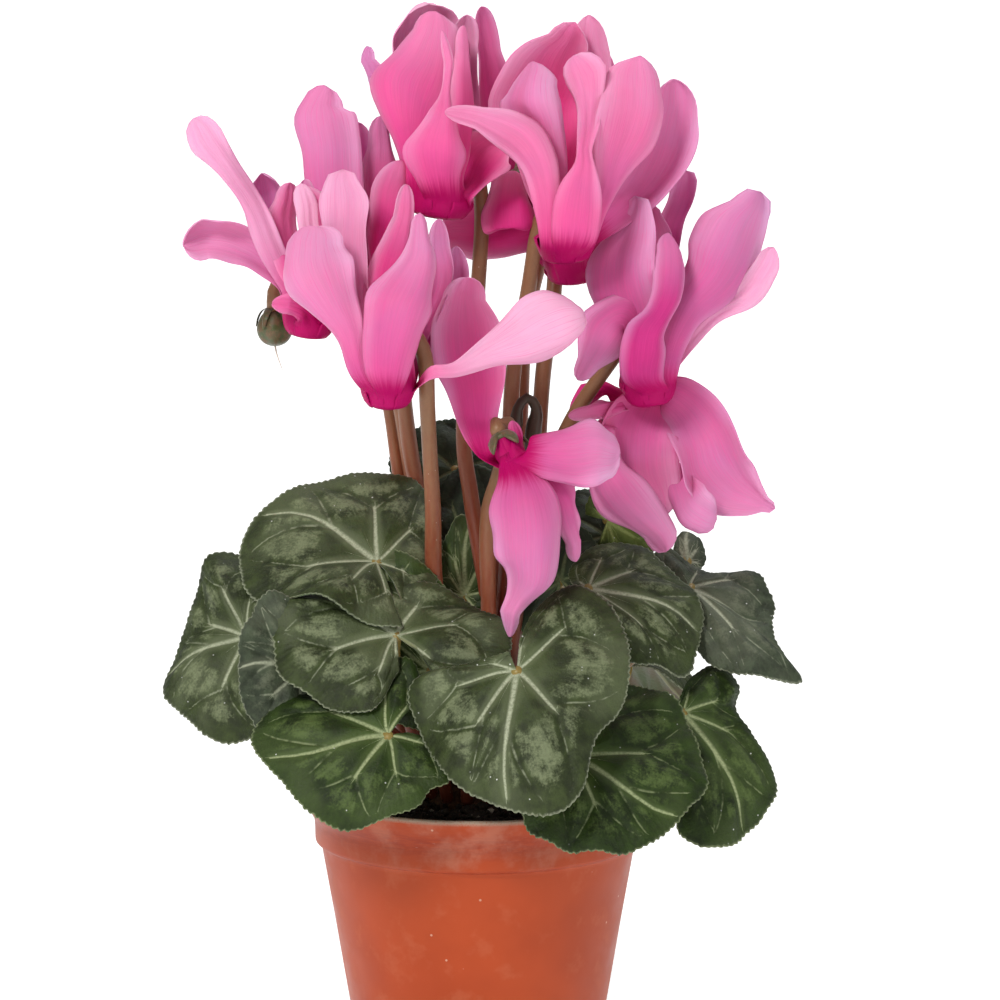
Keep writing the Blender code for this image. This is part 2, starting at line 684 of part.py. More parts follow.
def make_flower(name, flower, collection, cutters):
    mouth = np.asarray(flower["mouth"], float)
    axis = unit(np.asarray(flower["faces"], float))
    route = stem_route(flower, axis, mouth)
    radii = np.linspace(STEM_RADIUS, 0.8 * STEM_RADIUS, STEM_POINTS)
    radii[-1] = CALYX_RADIUS
    tube(f"flower_stem_{name}", route, radii, "stem", collection)
    profile = [
        (0.0, TUBE_LENGTH - TUBE_WALL),
        (MOUTH_RADIUS - 2.4 * TUBE_WALL, 0.45 * TUBE_LENGTH),
        (MOUTH_RADIUS - 1.9 * TUBE_WALL, 0.0),
        (MOUTH_RADIUS - 0.7 * TUBE_WALL, 0.0),
        (MOUTH_RADIUS - 1.0 * TUBE_WALL, 0.5 * TUBE_LENGTH),
        (0.5 * MOUTH_RADIUS, TUBE_LENGTH - 0.4 * TUBE_WALL),
        (0.0, TUBE_LENGTH),
    ]
    corolla = turned(f"corolla_{name}", profile[::-1], "petal", collection, TUBE_SIDES)
    corolla.location = mouth * MM
    corolla.rotation_mode = "QUATERNION"
    upward = -axis
    swing = np.cross(UP, upward)
    angle = math.acos(max(-1.0, min(1.0, float(UP @ upward))))
    spin_axis = unit(swing) if np.linalg.norm(swing) > 1e-6 else np.array((1.0, 0.0, 0.0))
    corolla.rotation_quaternion = (math.cos(angle / 2), *(math.sin(angle / 2) * spin_axis))
    for k, outward in enumerate(ring_directions(mouth, axis, flower["petals"], flower["stem"])):
        grid = petal_grid(mouth, axis, outward, flower["petals"][k], PETAL_ROWS, PETAL_COLUMNS)
        mesh = grid_mesh(f"petal_{name}_{k + 1}", grid)
        petal = as_cutter(add_object(f"petal_{name}_{k + 1}", mesh, "petal", cutters))
        solidify(petal, PETAL_THICKNESS)
        join = corolla.modifiers.new(f"Petal {k + 1}", "BOOLEAN")
        join.operation = "UNION"
        join.solver = "MANIFOLD"  # EXACT loses the tube where a twisted petal's shell meets itself
        join.object = petal


def make_capsule(collection):
    """The ripening seed capsule, and the stem that bends down to it."""
    centre = np.asarray(CAPSULE_CENTRE, float)
    mesh = bpy.data.meshes.new("seed_capsule")
    builder = bmesh.new()
    bmesh.ops.create_uvsphere(builder, u_segments=12, v_segments=8, radius=CAPSULE_RADIUS * MM)
    bmesh.ops.translate(builder, vec=tuple(centre * MM), verts=builder.verts)
    builder.to_mesh(mesh)
    builder.free()
    add_object("seed_capsule", mesh, "capsule", collection)
    foot = crown_point(CAPSULE_STEM[0][0], CAPSULE_STEM[0][1], STEM_RADIUS)
    end = centre + UP * (CAPSULE_RADIUS + GAP)
    route = even_path([foot] + CAPSULE_STEM + [end], STEM_POINTS, BEND_LENGTH)
    tube("seed_capsule_stem", route, np.full(STEM_POINTS, 0.75 * STEM_RADIUS), "stem", collection)


def make_bud_stem(collection):
    foot = crown_point(BUD_STEM[0][0], BUD_STEM[0][1], STEM_RADIUS)
    route = even_path([foot] + BUD_STEM, STEM_POINTS + 1, BEND_LENGTH)
    radii = np.full(STEM_POINTS + 1, 0.8 * STEM_RADIUS)
    radii[-3:] = (1.0 * STEM_RADIUS, 1.15 * STEM_RADIUS, 0.6 * STEM_RADIUS)
    tube("bud_stem", route, radii, "stem", collection)


def main():
    for leftover in list(bpy.data.objects):
        bpy.data.objects.remove(leftover, do_unlink=True)
    collection = bpy.data.collections.new("potted_cyclamen")
    cutters = bpy.data.collections.new("cutters")
    bpy.context.scene.collection.children.link(collection)
    bpy.context.scene.collection.children.link(cutters)
    make_pot(collection, cutters)
    make_soil(collection)
    make_corm(collection)
    make_leaves(collection)
    for name, flower in FLOWERS.items():
        make_flower(name, flower, collection, cutters)
    make_capsule(collection)
    make_bud_stem(collection)


main()
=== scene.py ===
"""The looks of a potted cyclamen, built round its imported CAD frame.

Lengths are in millimetres in the frame's axes, until a mesh is made.
"""

import math

import bpy
import numpy as np
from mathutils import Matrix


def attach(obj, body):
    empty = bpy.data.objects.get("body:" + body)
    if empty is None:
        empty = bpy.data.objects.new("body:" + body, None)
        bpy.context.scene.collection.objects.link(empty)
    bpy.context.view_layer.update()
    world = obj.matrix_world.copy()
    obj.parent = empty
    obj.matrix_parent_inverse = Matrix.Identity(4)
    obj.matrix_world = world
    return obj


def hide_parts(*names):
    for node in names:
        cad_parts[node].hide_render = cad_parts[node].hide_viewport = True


MM = 0.001
UP = np.array((0.0, 0.0, 1.0))
FRONT = np.array((0.0, -1.0, 0.0))

STEM_RADIUS = 2.5
STEM_UNEVEN = 0.05  # how far a stem's skin leaves its circle, as a share of the radius
STALK_RADIUS = 1.9
STALK_CIRCLE = 15.6  # where the outer stalks start, round the corm's middle
CORM_TOP = 94.5
CORM_RADIUS = 19.0
CORM_HALF = 9.5  # half its height
STEM_SINK = 0.8  # how far inside the corm a stem starts

LEAF_ROWS = 26
LEAF_THICKNESS = 0.4
LEAF_ARCH = 0.08  # how high a blade arches halfway from hub to edge, as a share of that length
FULL_LEAF = 22.0  # the mean reach from which a blade's relief has its full size
FAR = 99.0  # more than any gap to a vein
TOOTH_PITCH = 2.0
TOOTH_SHAPE = (0.0, 0.8, 0.6)
TOOTH_HEIGHT = 0.55

PETAL_ROWS = 44
PETAL_COLUMNS = 18
PETAL_THICKNESS = 0.22
PETAL_SPAN = 235.0  # degrees that the petals of a flower share out, for each one's reach to either side
PETAL_BULGE = 0.30  # how far a petal's middle stands out, as a share of its half width
SIDE_TURN = 0.75  # how far a petal's face is turned from the front to its own side of the flower
TUBE_STEPS = 40
# The tube's skin as (radius, height over the mouth): down its outside to the lip, and up again inside
TUBE = [(1.6, 13.2), (3.4, 12.6), (4.5, 10.0), (5.1, 6.5), (5.3, 3.6), (4.9, 1.4), (4.3, 0.6), (3.7, 1.4),
        (3.0, 4.6), (2.0, 6.6), (0.4, 7.2)]
TUBE_OUTSIDE = 6  # how many points of TUBE are on its outside
# How a petal leaves the mouth: distance from the flower's axis, and height above the mouth's plane
FOLD = {
    "back": [(3.3, 4.2), (3.9, 1.6), (4.8, -0.1), (5.9, -0.2), (7.0, 1.2), (7.9, 3.6), (8.6, 7.0)],
    "open": [(4.4, 5.0), (5.2, 2.2), (6.3, 0.2), (7.6, -1.4)],
}
FOLD_KEPT = 4  # the first points of a fold, which even a petal that starts low has
LIP_KEY = {"back": 3, "open": 2}  # which point of the fold is the lip
LIP_SLANT = 1.7  # how much lower the front of a mouth's rim stands than its sides
NOSE_DROP = 3.6  # how far the lip of a nose stands beyond the CAD's mouth
DROOP = 1.3  # how much more than the CAD's flowers the hanging ones point down
LAID_OPEN = ("low_right", "middle")  # the two flowers that face the viewer, with short tubes and open petals
SHORT_TUBE = 0.62  # the height of their tubes, as a share of the others'
# How wide the flowers' noses are, as shares of the radii above
USUAL_GIRTH = 0.95
GIRTHS = {"left_front": 0.92, "top_left": 1.2, "top_right": 1.0, "low_right": 0.9, "middle": 0.75}
SEPALS = 5

POT_STEPS = 160
POT_FOOT = 32.0
FLOOR_TOP = 2.0
DRAIN_HOLES = 5
DRAIN_CIRCLE = 21
DRAIN_RADIUS = 3.5
SOIL_RADIUS = 46.2
SOIL_TOP = 88.2
SOIL_FALL = 1.4  # how much lower the soil stands along the pot's wall
CRUMB_LEVEL = 88.1  # where the loose crumbs and grains lie

# The camera, the lights and the floor, in metres
LENS = 150.0
CAMERA_PLACE = (0.0064, -1.2, 0.342)
CAMERA_TARGET = (0.0064, 0.0, 0.176)
LIGHT_TARGET = (0, 0, 0.2)
FLOOR_HALF = 30.0
FLOOR_DROP = 0.0002
WORLD_LIGHT = 0.32

# Leaves: the point where the stalk meets the blade, where along the edge the midrib ends, the tone of the
# blade, and its edge from one side of the notch round to the other.
LEAVES = {
    "left_upper": ((-29, -14, 160), 0.56, "deep", [
        (-19, -29, 146), (-11, -10, 157), (-13, 10, 174), (-28, 16, 182), (-57, 10, 176), (-69, 0, 163),
        (-65, -20, 151), (-47, -34, 153), (-35, -38, 148), (-21, -34, 143)
    ]),
    "far_left": ((-67, -14, 138), 0.42, "deep", [
        (-60, -8, 150), (-70, 8, 159), (-79, 8, 158), (-83, 4, 144), (-91, -10, 122), (-83, -20, 114),
        (-72, -28, 110), (-61, -34, 114), (-52, -32, 124), (-49, -27, 138), (-51, -18, 148), (-55, -12, 151)
    ]),
    "left_front": ((-23, -34, 142), 0.62, "deep", [
        (-15, -42, 138), (-10, -48, 132), (-2, -50, 130), (8, -46, 136), (9, -34, 144), (0, -22, 149),
        (-14, -18, 154), (-37, -20, 155), (-56, -28, 152), (-57, -40, 135), (-48, -47, 128),
        (-31, -52, 123), (-22, -44, 134)
    ]),
    "front_left": ((-25, -54, 117), 0.54, "fresh", [
        (-15, -50, 116), (-7, -54, 113), (-8, -60, 105), (-13, -63, 103), (-18, -66, 98), (-35, -68, 93),
        (-47, -64, 97), (-55, -58, 105), (-63, -48, 113), (-62, -40, 119), (-49, -36, 127), (-34, -35, 134),
        (-20, -38, 136), (-14, -45, 127)
    ]),
    "front_middle": ((11, -58, 136), 0.40, "deep", [
        (9, -56, 141), (-2, -53, 138), (-17, -50, 132), (-18, -54, 122), (-8, -68, 108), (6, -76, 101),
        (20, -80, 99), (29, -78, 106), (32, -70, 118), (40, -62, 126), (43, -54, 136), (40, -44, 148),
        (31, -38, 156), (23, -38, 155), (16, -44, 150), (12, -52, 143)
    ]),
    "front_right": ((27, -54, 111), 0.52, "fresh", [
        (19, -56, 113), (13, -60, 106), (13, -66, 96), (19, -68, 89), (38, -69, 86), (53, -64, 92),
        (60, -58, 97), (65, -50, 104), (62, -44, 111), (54, -36, 125), (42, -36, 127), (32, -42, 122)
    ]),
    "right_inner": ((32, -18, 153), 0.60, "deep", [
        (28, -22, 151), (27, -8, 157), (36, 0, 163), (46, 2, 162), (56, -1, 156), (63, -6, 148),
        (65, -14, 141), (61, -26, 130), (53, -32, 133), (41, -32, 136), (31, -28, 145)
    ]),
    "far_right": ((62, 2, 150), 0.62, "grey", [
        (55, 0, 148), (50, 8, 154), (54, 14, 159), (66, 14, 154), (82, 10, 152), (86, 2, 145),
        (86, -8, 135), (93, -18, 127), (81, -22, 127), (67, -16, 131), (59, -8, 139)
    ]),
    "low_right": ((59, -26, 118), 0.62, "fresh", [
        (57, -24, 121), (60, -16, 125), (68, -10, 129), (76, -10, 123), (75, -16, 115), (85, -24, 98),
        (82, -34, 90), (74, -42, 84), (63, -46, 83), (56, -44, 88), (58, -40, 102), (57, -34, 113)
    ]),
    "back_centre": ((-7, 36, 180), 0.5, "shade", [
        (-2, 28, 157), (9, 32, 160), (13, 38, 172), (12, 43, 182), (4, 46, 190), (-9, 47, 194),
        (-20, 44, 190), (-27, 38, 182), (-22, 32, 172), (-12, 28, 160)
    ]),
    "back_inner": ((-5, 26, 161), 0.5, "shade", [
        (-2, 18, 130), (8, 20, 134), (12, 26, 156), (10, 31, 172), (2, 36, 181), (-9, 35, 179),
        (-17, 27, 162), (-15, 21, 140)
    ]),
    "back_right": ((38, 16, 163), 0.5, "shade", [
        (34, 8, 150), (44, 10, 152), (52, 17, 160), (48, 26, 168), (36, 32, 174), (25, 30, 172),
        (17, 22, 164), (18, 12, 152), (28, 8, 149)
    ]),
    "inner_right": ((24, 2, 152), 0.5, "shade", [
        (24, -12, 130), (13, -9, 138), (9, 2, 156), (14, 8, 166), (24, 10, 170), (34, 6, 164),
        (36, -2, 152), (30, -6, 144)
    ]),
    "inner_left": ((-14, -24, 130), 0.5, "fresh", [
        (-12, -28, 112), (-24, -26, 116), (-30, -22, 128), (-32, -14, 147), (-26, -10, 163),
        (-12, -14, 156), (-3, -24, 144), (0, -28, 132), (-5, -30, 116)
    ]),
    # Its grey is partly dust and partly painted sheen where light grazes the folded blade.
    "dusty_left": ((-50, -32, 132), 0.5, "grey", [
        (-47, -30, 142), (-52, -29, 151), (-59, -31, 154), (-65, -34, 147), (-68, -37, 137),
        (-67, -39, 126), (-63, -40, 116), (-57, -41, 110), (-50, -40, 112), (-45, -38, 120)
    ]),
    "turned_edge": ((38, 14, 168), 0.5, "young", [
        (31, 12, 170), (33, 12, 176), (38, 12, 177), (46, 14, 170), (53, 15, 160), (44, 15, 158),
        (34, 14, 158)
    ]),
    "small_back": ((62, 26, 154), 0.5, "grey", [
        (60, 22, 151), (58, 30, 157), (61, 34, 162), (66, 34, 160), (68, 30, 154), (65, 24, 150)
    ]),
    "young": ((-4, -2, 148), 0.5, "fresh", [
        (-9, -4, 146), (-12, -1, 154), (-10, 3, 163), (-5, 5, 171), (1, 3, 169), (5, -1, 160), (4, -3, 150),
        (0, -5, 142)
    ]),
}

# Leaves round the back: stalk point, heading in degrees, length, rise of the heading, fall at the edge.
BACK_LEAVES = {
    "rear_left": ((-42, 38, 142), 135, 32, -0.45, 8),
    "rear_middle": ((2, 58, 122), 92, 34, -0.5, 8),
    "rear_right": ((46, 46, 124), 45, 32, -0.45, 8),
}

# Where the stalks of the inner leaves start on the corm. The other stalks start on the circle round it.
INNER_STALKS = {
    "young": (-1, 3.5), "inner_right": (5.5, -4.5), "inner_left": (-5.5, -6.0), "dusty_left": (-9.0, -4.0),
    "turned_edge": (6.0, 11.0),
}

# Leaves that show between the others in the photo and aren't in the CAD.
ADDED_LEAVES = {"inner_right", "inner_left", "dusty_left", "turned_edge"}

# Flowers: the middle of the mouth, the way it faces, and the stem's route up to its bend.
FLOWERS = {
    "far_left": ((-49, 2, 228), (-3, -4, -8), [
        (-6, 7.5, 110), (-16, 24, 150), (-20, 24, 182), (-24, 19, 206), (-32, 13, 226), (-39, 8, 240),
        (-43, 5, 242)
    ]),
    "left_front": ((-25, -36, 212), (0, -3, -9), [
        (-3, -9, 110), (-12, -8, 148), (-13, -20, 179), (-14, -30, 206), (-15, -32, 222), (-20, -32, 229)
    ]),
    "back_left": ((-30, -6, 235), (0, -3, -9), [
        (-6, 1, 110), (-12, 13, 140), (-17, 19, 170), (-21, 15, 196), (-23, 7, 228), (-24, 6, 244),
        (-27, 4, 251)
    ]),
    "top_left": ((-11, -4, 263), (-3, -5, -8), [
        (0, -3, 110), (3, -2, 142), (-2, -4, 177), (-4, -2, 198), (0, 3, 237), (1, 5, 263), (-3, 5, 275)
    ]),
    "top_right": ((25, -16, 251), (1, -4, -8), [
        (5, 0, 110), (8, 2, 150), (9, 3, 180), (10, 3, 211), (14, 2, 234), (17, 0, 253), (21, -3, 265),
        (23, -7, 265)
    ]),
    "back_centre": ((11, 18, 260), (-4, -6, -7), [
        (2, 9, 110), (7, 15, 150), (12, 19, 190), (14, 22, 225), (20, 31, 250), (23, 34, 261), (21, 30, 270)
    ]),
    "behind_right": ((27, 10, 243), (1, -3, -9), [
        (9.5, 3.5, 110), (14, 6, 150), (17, 7, 180), (19, 9, 212), (22, 16, 233), (23, 21, 246),
        (25, 18, 256)
    ]),
    "right": ((49, -12, 210), (2, -3, -9), [
        (10, -2.5, 110), (14, -2, 145), (18, 0, 175), (27, 0, 199), (40, -3, 219), (44, -6, 226)
    ]),
    "low_right": ((46, 6, 199), (3, -8, 2), [
        (7.5, 8.5, 110), (14, 13, 145), (22, 18, 170), (33, 21, 188), (40, 19, 197)
    ]),
    "middle": ((10, -34, 192), (4, -3, -8), [
        (3.5, -8.5, 110), (3, -9, 150), (3, -10, 172), (6, -14, 184), (9, -20, 196), (9, -25, 201),
        (6.5, -29, 201)
    ]),
}

# Petals of each flower: the side of the mouth that it grows from in degrees (0 to the front, 90 to the
# right), whether it folds back or lies open, how lilac it is, how deep its pink is (pale below 0), then the
# places (x, y, z, half width) along its middle line, and its tip. The depth also paints light and shade:
# petals that face up into the light are set pale, and some that lie in shade are set deeper.
PETALS = {
    "far_left": [
        (300, "back", 0.5, -0.6, [(-54, -1, 238, 3), (-59, -3, 248, 4), (-64, -4, 261, 3.5),
         (-71, -8, 272, 4), (-77, -9, 280, 5.5), (-81, -8, 287)]),
        (275, "back", 0.6, -0.3, [(-56, 1, 240, 3), (-63, 2, 247, 5), (-71, 2, 251, 7), (-79, 2, 252, 7),
         (-85, 0, 250)]),
        (230, "back", 0.8, 0.0, [(-57, 12, 250, 3.5), (-61, 14, 259, 5), (-62, 15, 264, 5.5),
         (-63, 14, 270)]),
        (140, "back", 0.4, 0.2, [(-48, 14, 240, 3.5), (-47, 18, 251, 4.5), (-48, 18, 258, 4),
         (-48, 16, 262)]),
        (340, "back", 0.3, 0.2, [(-50, -7, 232, 3.5), (-54, -9, 234, 3), (-59, -8, 234)]),
        (20, "back", 0.15, 0.4, [(-52, -4, 240, 3.5), (-55, 0, 250, 5), (-56, 3, 258, 5), (-55, 4, 263, 3.5),
         (-54, 3, 268)]),
    ],
    "left_front": [
        (310, "back", 0.45, -0.15, [(-33, -46, 218, 2.5), (-36, -46, 229, 5), (-41, -43, 238, 9),
         (-45, -39, 246, 11.5), (-46, -36, 253, 9), (-46, -33, 258)]),
        (5, "back", 0.45, 0.05, [(-25, -48, 218, 6), (-24, -49, 228, 8.5), (-22, -47, 237, 10),
         (-19, -43, 243, 8.5), (-16, -40, 250, 5.5), (-16, -38, 257, 3), (-16, -37, 262)]),
        (65, "back", 0.15, -0.8, [(-13, -46, 218, 1.8), (-6, -46, 219, 2.2), (3, -42, 223, 5),
         (11, -40, 226, 9), (17, -38, 229, 11), (23, -37, 231.5, 10.5), (27, -36, 232.5, 7.5),
         (30, -35, 233)]),
        (250, "back", 0.35, -0.4, [(-33, -32, 229, 3.5), (-35, -32, 241, 5), (-37, -30, 253, 6.5),
         (-37, -26, 264, 7), (-38, -22, 270, 4.5), (-38, -19, 273)]),
        (125, "back", 0.7, 0.05, [(-17, -26, 224, 2.5), (-12, -24, 235, 3.5), (-10, -21, 243, 3.8),
         (-11, -19, 251, 3), (-11, -18, 259)]),
        (150, "back", 0.8, 0.1, [(-11, -20, 226, 2.5), (-7, -16, 236, 4.3), (-6, -14, 243, 3.8),
         (-6, -15, 251)]),
        (30, "back", 0.15, 0.85, [(-25, -36, 232, 6), (-26, -32, 239, 6.4), (-25, -28, 246, 5.8),
         (-23, -26, 253, 4.2), (-21, -24, 260, 2.4), (-20, -22, 269)]),
        (275, "back", 0.1, 0.7, [(-38, -24, 242, 3.7), (-40, -19, 252, 4.6), (-44, -16, 261, 4),
         (-50, -15, 268)]),
        (272, "back", 0.1, -0.7, [(-43, -29, 246, 2.9), (-47, -24, 255, 2.9), (-48, -21, 263, 3),
         (-50, -18, 269)]),
    ],
    "back_left": [
        (300, "back", 0.55, 0.0, [(-34, -10, 240, 2.6), (-39, -4, 256, 7.5), (-42, 0, 268, 9.7),
         (-43, 3, 278, 9.8), (-45, 4, 287, 10), (-45, 4, 292, 6), (-44, 2, 296)]),
        (60, "back", 0.45, 0.5, [(-28, -8, 242, 2.6), (-27, -2, 259, 5.5), (-28, 4, 270, 5.6),
         (-28, 7, 279, 3.6), (-28, 6, 287)]),
        (330, "back", 0.2, 0.95, [(-27, -12, 233, 4.3), (-27, -8, 246, 6), (-26, -6, 257, 6.4),
         (-25, -6, 266, 5.6), (-22, -9, 275)]),
        (250, "back", 0.5, 0.1, [(-44, -14, 247, 2.6), (-47, -14, 256, 3.4), (-49, -15, 264, 3),
         (-49, -13, 270)]),
        (170, "back", 0.7, 0.1, [(-35, 9, 244, 4), (-36, 14, 266, 5.2), (-35, 14, 278, 4), (-35, 12, 285)]),
    ],
    "top_left": [
        (300, "back", 0.1, 0.45, [(-17, -10, 270, 4), (-18, -6, 281, 7), (-18, -1, 289, 12),
         (-17, 3, 296, 16.5), (-14, 5, 303, 13), (-12, 5, 311, 8), (-12, 2, 317)]),
        (12, "back", 0.1, 0.15, [(-11, -16, 270, 6.3), (-12, -19, 279, 9.2), (-10, -18, 288, 4.4),
         (-9, -15, 295, 1.8), (-8, -14, 303, 1.4), (-10, -13, 312)]),
        (245, "back", 0.1, -0.9, [(-15, 8, 273, 4), (-15, 12, 289, 8), (-15, 14, 302, 12),
         (-14.5, 13, 310, 12.5), (-14, 11, 316, 8), (-14, 9, 319)]),
        (150, "back", 0.3, -0.6, [(-7, 9, 272, 3.6), (-4, 13, 286, 4.2), (-4, 13, 299, 4.8),
         (-4, 12, 308, 4.4), (-3, 9, 316)]),
        (85, "back", 0.1, 0.95, [(-4, -11, 265, 3), (-2, -6, 270, 7.5), (1, -3, 276, 10), (5, -1, 279, 7),
         (9, 0, 282, 3.5), (11, 1, 284)]),
        (60, "back", 0.05, 0.45, [(-6, -9, 269, 2), (-5, -6, 278, 3), (-4, -3, 289, 4), (-4, -1, 298, 3.6),
         (-4, 2, 306, 2.5), (-4, 3, 313)]),
        (270, "back", 0.9, 0.0, [(-23, 9, 286, 2.3), (-29, 9, 298, 2.8), (-32, 9, 303, 2.2), (-32, 8, 307)]),
    ],
    "top_right": [
        (300, "back", 0.05, -0.1, [(20, -27, 253, 2.3), (20, -27, 260, 3.4), (19, -26, 268, 4.6),
         (17, -25, 275, 6.2), (13, -24, 281, 7.6), (7, -25, 285, 6.4), (0, -27, 288, 3.4), (-9, -30, 290)]),
        (265, "back", 0.5, 0.0, [(21, -15, 257, 2.5), (20, -16, 272, 5.2), (16, -17, 284, 8.2),
         (13, -18, 292, 9.6), (14, -18, 298, 7.6), (15, -14, 303)]),
        (10, "back", 0.05, 0.0, [(27, -29, 254, 6.2), (28, -30, 262, 7.2), (29, -30, 269, 5.7),
         (30, -31, 275, 3.6), (30, -30, 280, 2.4), (31, -25, 286, 3), (31, -21, 293, 4.8),
         (30, -18, 299, 6.2), (27, -17, 305)]),
        (60, "back", 0.15, 0.0, [(32, -26, 254, 1.8), (34, -25, 261, 2.5), (37, -23, 268, 4.4),
         (40, -21, 276, 8), (43, -19, 283, 10.4), (45, -17, 291, 10.6), (45, -15, 298, 9), (46, -14, 305)]),
        (105, "back", 0.6, -0.1, [(34, -13, 255, 3), (44, -9, 264, 6), (50.5, -6, 273, 8),
         (53.5, -5, 282, 8.6), (55.5, -5, 290, 7), (56, -5, 298)]),
        (205, "back", 0.0, 0.85, [(24, -4, 257, 5.5), (21, 2, 276, 12), (18, 6, 289, 17.5),
         (21, 7, 297, 16.5), (24, 7, 305, 12), (27, 6, 310, 6.5), (28, 5, 314)]),
        (165, "back", 0.1, -0.4, [(32, 3, 261, 4), (35, 7, 284, 4.2), (35, 8, 300, 4.2), (33, 8, 308, 5),
         (32, 7, 316)]),
    ],
    "back_centre": [
        (320, "back", 0.2, 0.8, [(16, 8, 257, 8), (8, 10, 254, 8.6), (0, 12, 254, 10), (-7, 13, 254, 8.5),
         (-12, 13, 253)]),
        (250, "back", 0.4, 0.2, [(9, 26, 262, 3.3), (8, 30, 278, 6.4), (5, 30, 295, 6), (3, 28, 305, 4),
         (1, 24, 318)]),
        (20, "back", 0.1, 1.0, [(10, 0, 254, 8), (9, 1, 260, 8.4), (9, 5, 266, 5.5), (10, 8, 271)]),
        (160, "back", 0.5, 0.0, [(29, 32, 267, 5.8), (33, 36, 283, 6.2), (35, 35, 298, 5.8), (35, 32, 306)]),
        (90, "back", 0.3, 0.1, [(24, 20, 266, 5.8), (29, 24, 282, 7), (31, 23, 291, 5.8), (32, 22, 296)]),
    ],
    "behind_right": [
        (20, "back", 0.3, 0.2, [(27, 1, 246, 5.8), (30, 4, 257, 6.6), (32, 6, 265, 5.5), (32, 7, 270)]),
        (300, "back", 0.3, 0.2, [(21, 5, 246, 3.2), (19, 7, 256, 4.3), (20, 7, 264, 3.5), (20, 6, 269)]),
        (150, "back", 0.5, 0.1, [(37, 22, 245, 4.4), (45, 27, 256, 6), (48, 28, 262, 4.4), (48, 28, 266)]),
        (90, "back", 0.5, 0.1, [(36, 13, 247, 3), (46, 20, 256, 4.7), (48, 22, 259, 4), (50, 21, 262)]),
        (220, "back", 0.4, 0.1, [(26, 21, 246, 3.6), (27, 26, 259, 6), (27, 24, 271)]),
    ],
    "right": [
        (285, "back", 0.75, 0.3, [(46, -14, 222, 6), (43, -14, 231, 9.5), (40, -13, 240, 11),
         (40, -12, 249, 10.5), (43, -11, 257, 8), (45, -10, 262, 4.5), (45, -10, 265)]),
        (310, "back", 0.7, 0.4, [(45, -14, 225, 7), (42, -15, 231, 9), (37.5, -16, 228, 8.5),
         (34, -17, 222, 6.5), (31, -17, 217, 3.5), (28.5, -17, 213)]),
        (250, "back", 0.55, 0.1, [(45, -1, 220, 3.4), (44, 5, 235, 8), (45, 8, 246, 11.3),
         (46, 8, 253, 10.5), (46, 7, 259, 7), (46, 5, 263)]),
        (8, "back", 0.85, 1.0, [(47, -23, 214, 6), (47, -26, 222, 7), (48, -27, 228, 6.2),
         (51, -26, 232, 4.6), (54, -24, 238, 5), (55, -22, 245, 5.2), (55, -20, 250, 4.2), (54, -18, 255)]),
        (65, "back", 0.75, 0.15, [(54, -18, 214, 3), (55, -19, 221, 3.6), (57, -18, 227, 4.8),
         (61, -13, 234, 7.2), (67, -11, 240, 10), (71, -9, 247, 12.4), (75, -9, 256, 11.4),
         (79, -10, 262, 6), (81, -10, 266)]),
        (110, "back", 0.2, -0.7, [(55, -13, 218, 3), (66, -10, 230, 2.7), (77, -9, 237, 3.8),
         (83, -8, 245, 3.6), (85, -6, 250)]),
        (165, "back", 0.6, 0.2, [(50, 6, 219, 3.5), (54, 12, 238, 4), (56, 14, 254, 4), (59, 15, 262, 4),
         (60, 14, 268, 3.3), (60, 13, 271)]),
    ],
    "low_right": [
        (80, "open", 0.6, -0.1, [(54, -6, 207, 6.5), (60, -10, 203, 8.5), (65, -14, 195, 10),
         (68, -15, 187, 11.5), (73, -14, 181, 10), (79, -14, 178, 5.6), (82.5, -14, 176.6, 2.4),
         (85.5, -14, 175.5)]),
        (20, "open", 0.3, 0.15, [(50, -4, 206, 5.5), (48, -9, 202, 10), (45.5, -12, 195, 12.5),
         (46, -11, 184, 12), (51, -10, 176, 6.6), (52, -10, 172)]),
        (335, "open", 0.5, 0.0, [(36, -14, 199, 3.2), (36, -16, 189, 5.5), (41, -17, 180, 8.3),
         (47, -17, 173, 7.6), (52, -16, 168, 5.4), (54, -15, 163)]),
        (50, "open", 0.75, -0.1, [(53, -5, 190, 2.5), (57, -8, 183, 4.5), (60.5, -15, 177, 6.8),
         (65, -17, 174, 6.3), (68, -17, 172)]),
        (290, "open", 0.3, 0.2, [(43, -7, 205, 1.8), (37, -11, 204, 2.7), (31, -12, 203, 2.3),
         (26, -13, 202)]),
        (250, "open", 0.2, 0.7, [(37, 5, 208, 2), (32, 4, 207, 3.2), (27, 2, 201)]),
    ],
    "middle": [
        (340, "open", 0.65, -0.1, [(12, -45, 188, 6.5), (13, -48, 182, 10), (14, -50, 175, 10.8),
         (14, -50, 167, 10.2), (14, -49, 160, 7.8), (11, -46, 154, 4), (9, -45, 150, 3.4), (9, -43, 143)]),
        (30, "open", 0.5, 0.15, [(20, -41, 187, 3.6), (24, -42, 182, 4.4), (26, -42, 175, 3.8),
         (28, -41, 169, 3), (28, -39, 164)]),
        (75, "open", 0.7, -0.1, [(14, -42, 195, 4.5), (19, -46, 195, 6.6), (26, -47, 195, 9.5),
         (33, -47, 196, 9.6), (38, -45, 195, 6.6), (40, -44, 195)]),
        (130, "open", 0.5, 0.1, [(11, -36, 195, 2.9), (11, -33, 199, 2), (10, -32, 203)]),
        (245, "back", 0.45, 0.5, [(2, -34, 194, 2.4), (0, -28, 202, 6), (-1, -26, 212, 9.5),
         (-3, -24, 221, 11.3), (-4, -23, 230, 11), (-4, -23, 237, 6.3), (-3, -25, 243)]),
    ],
}

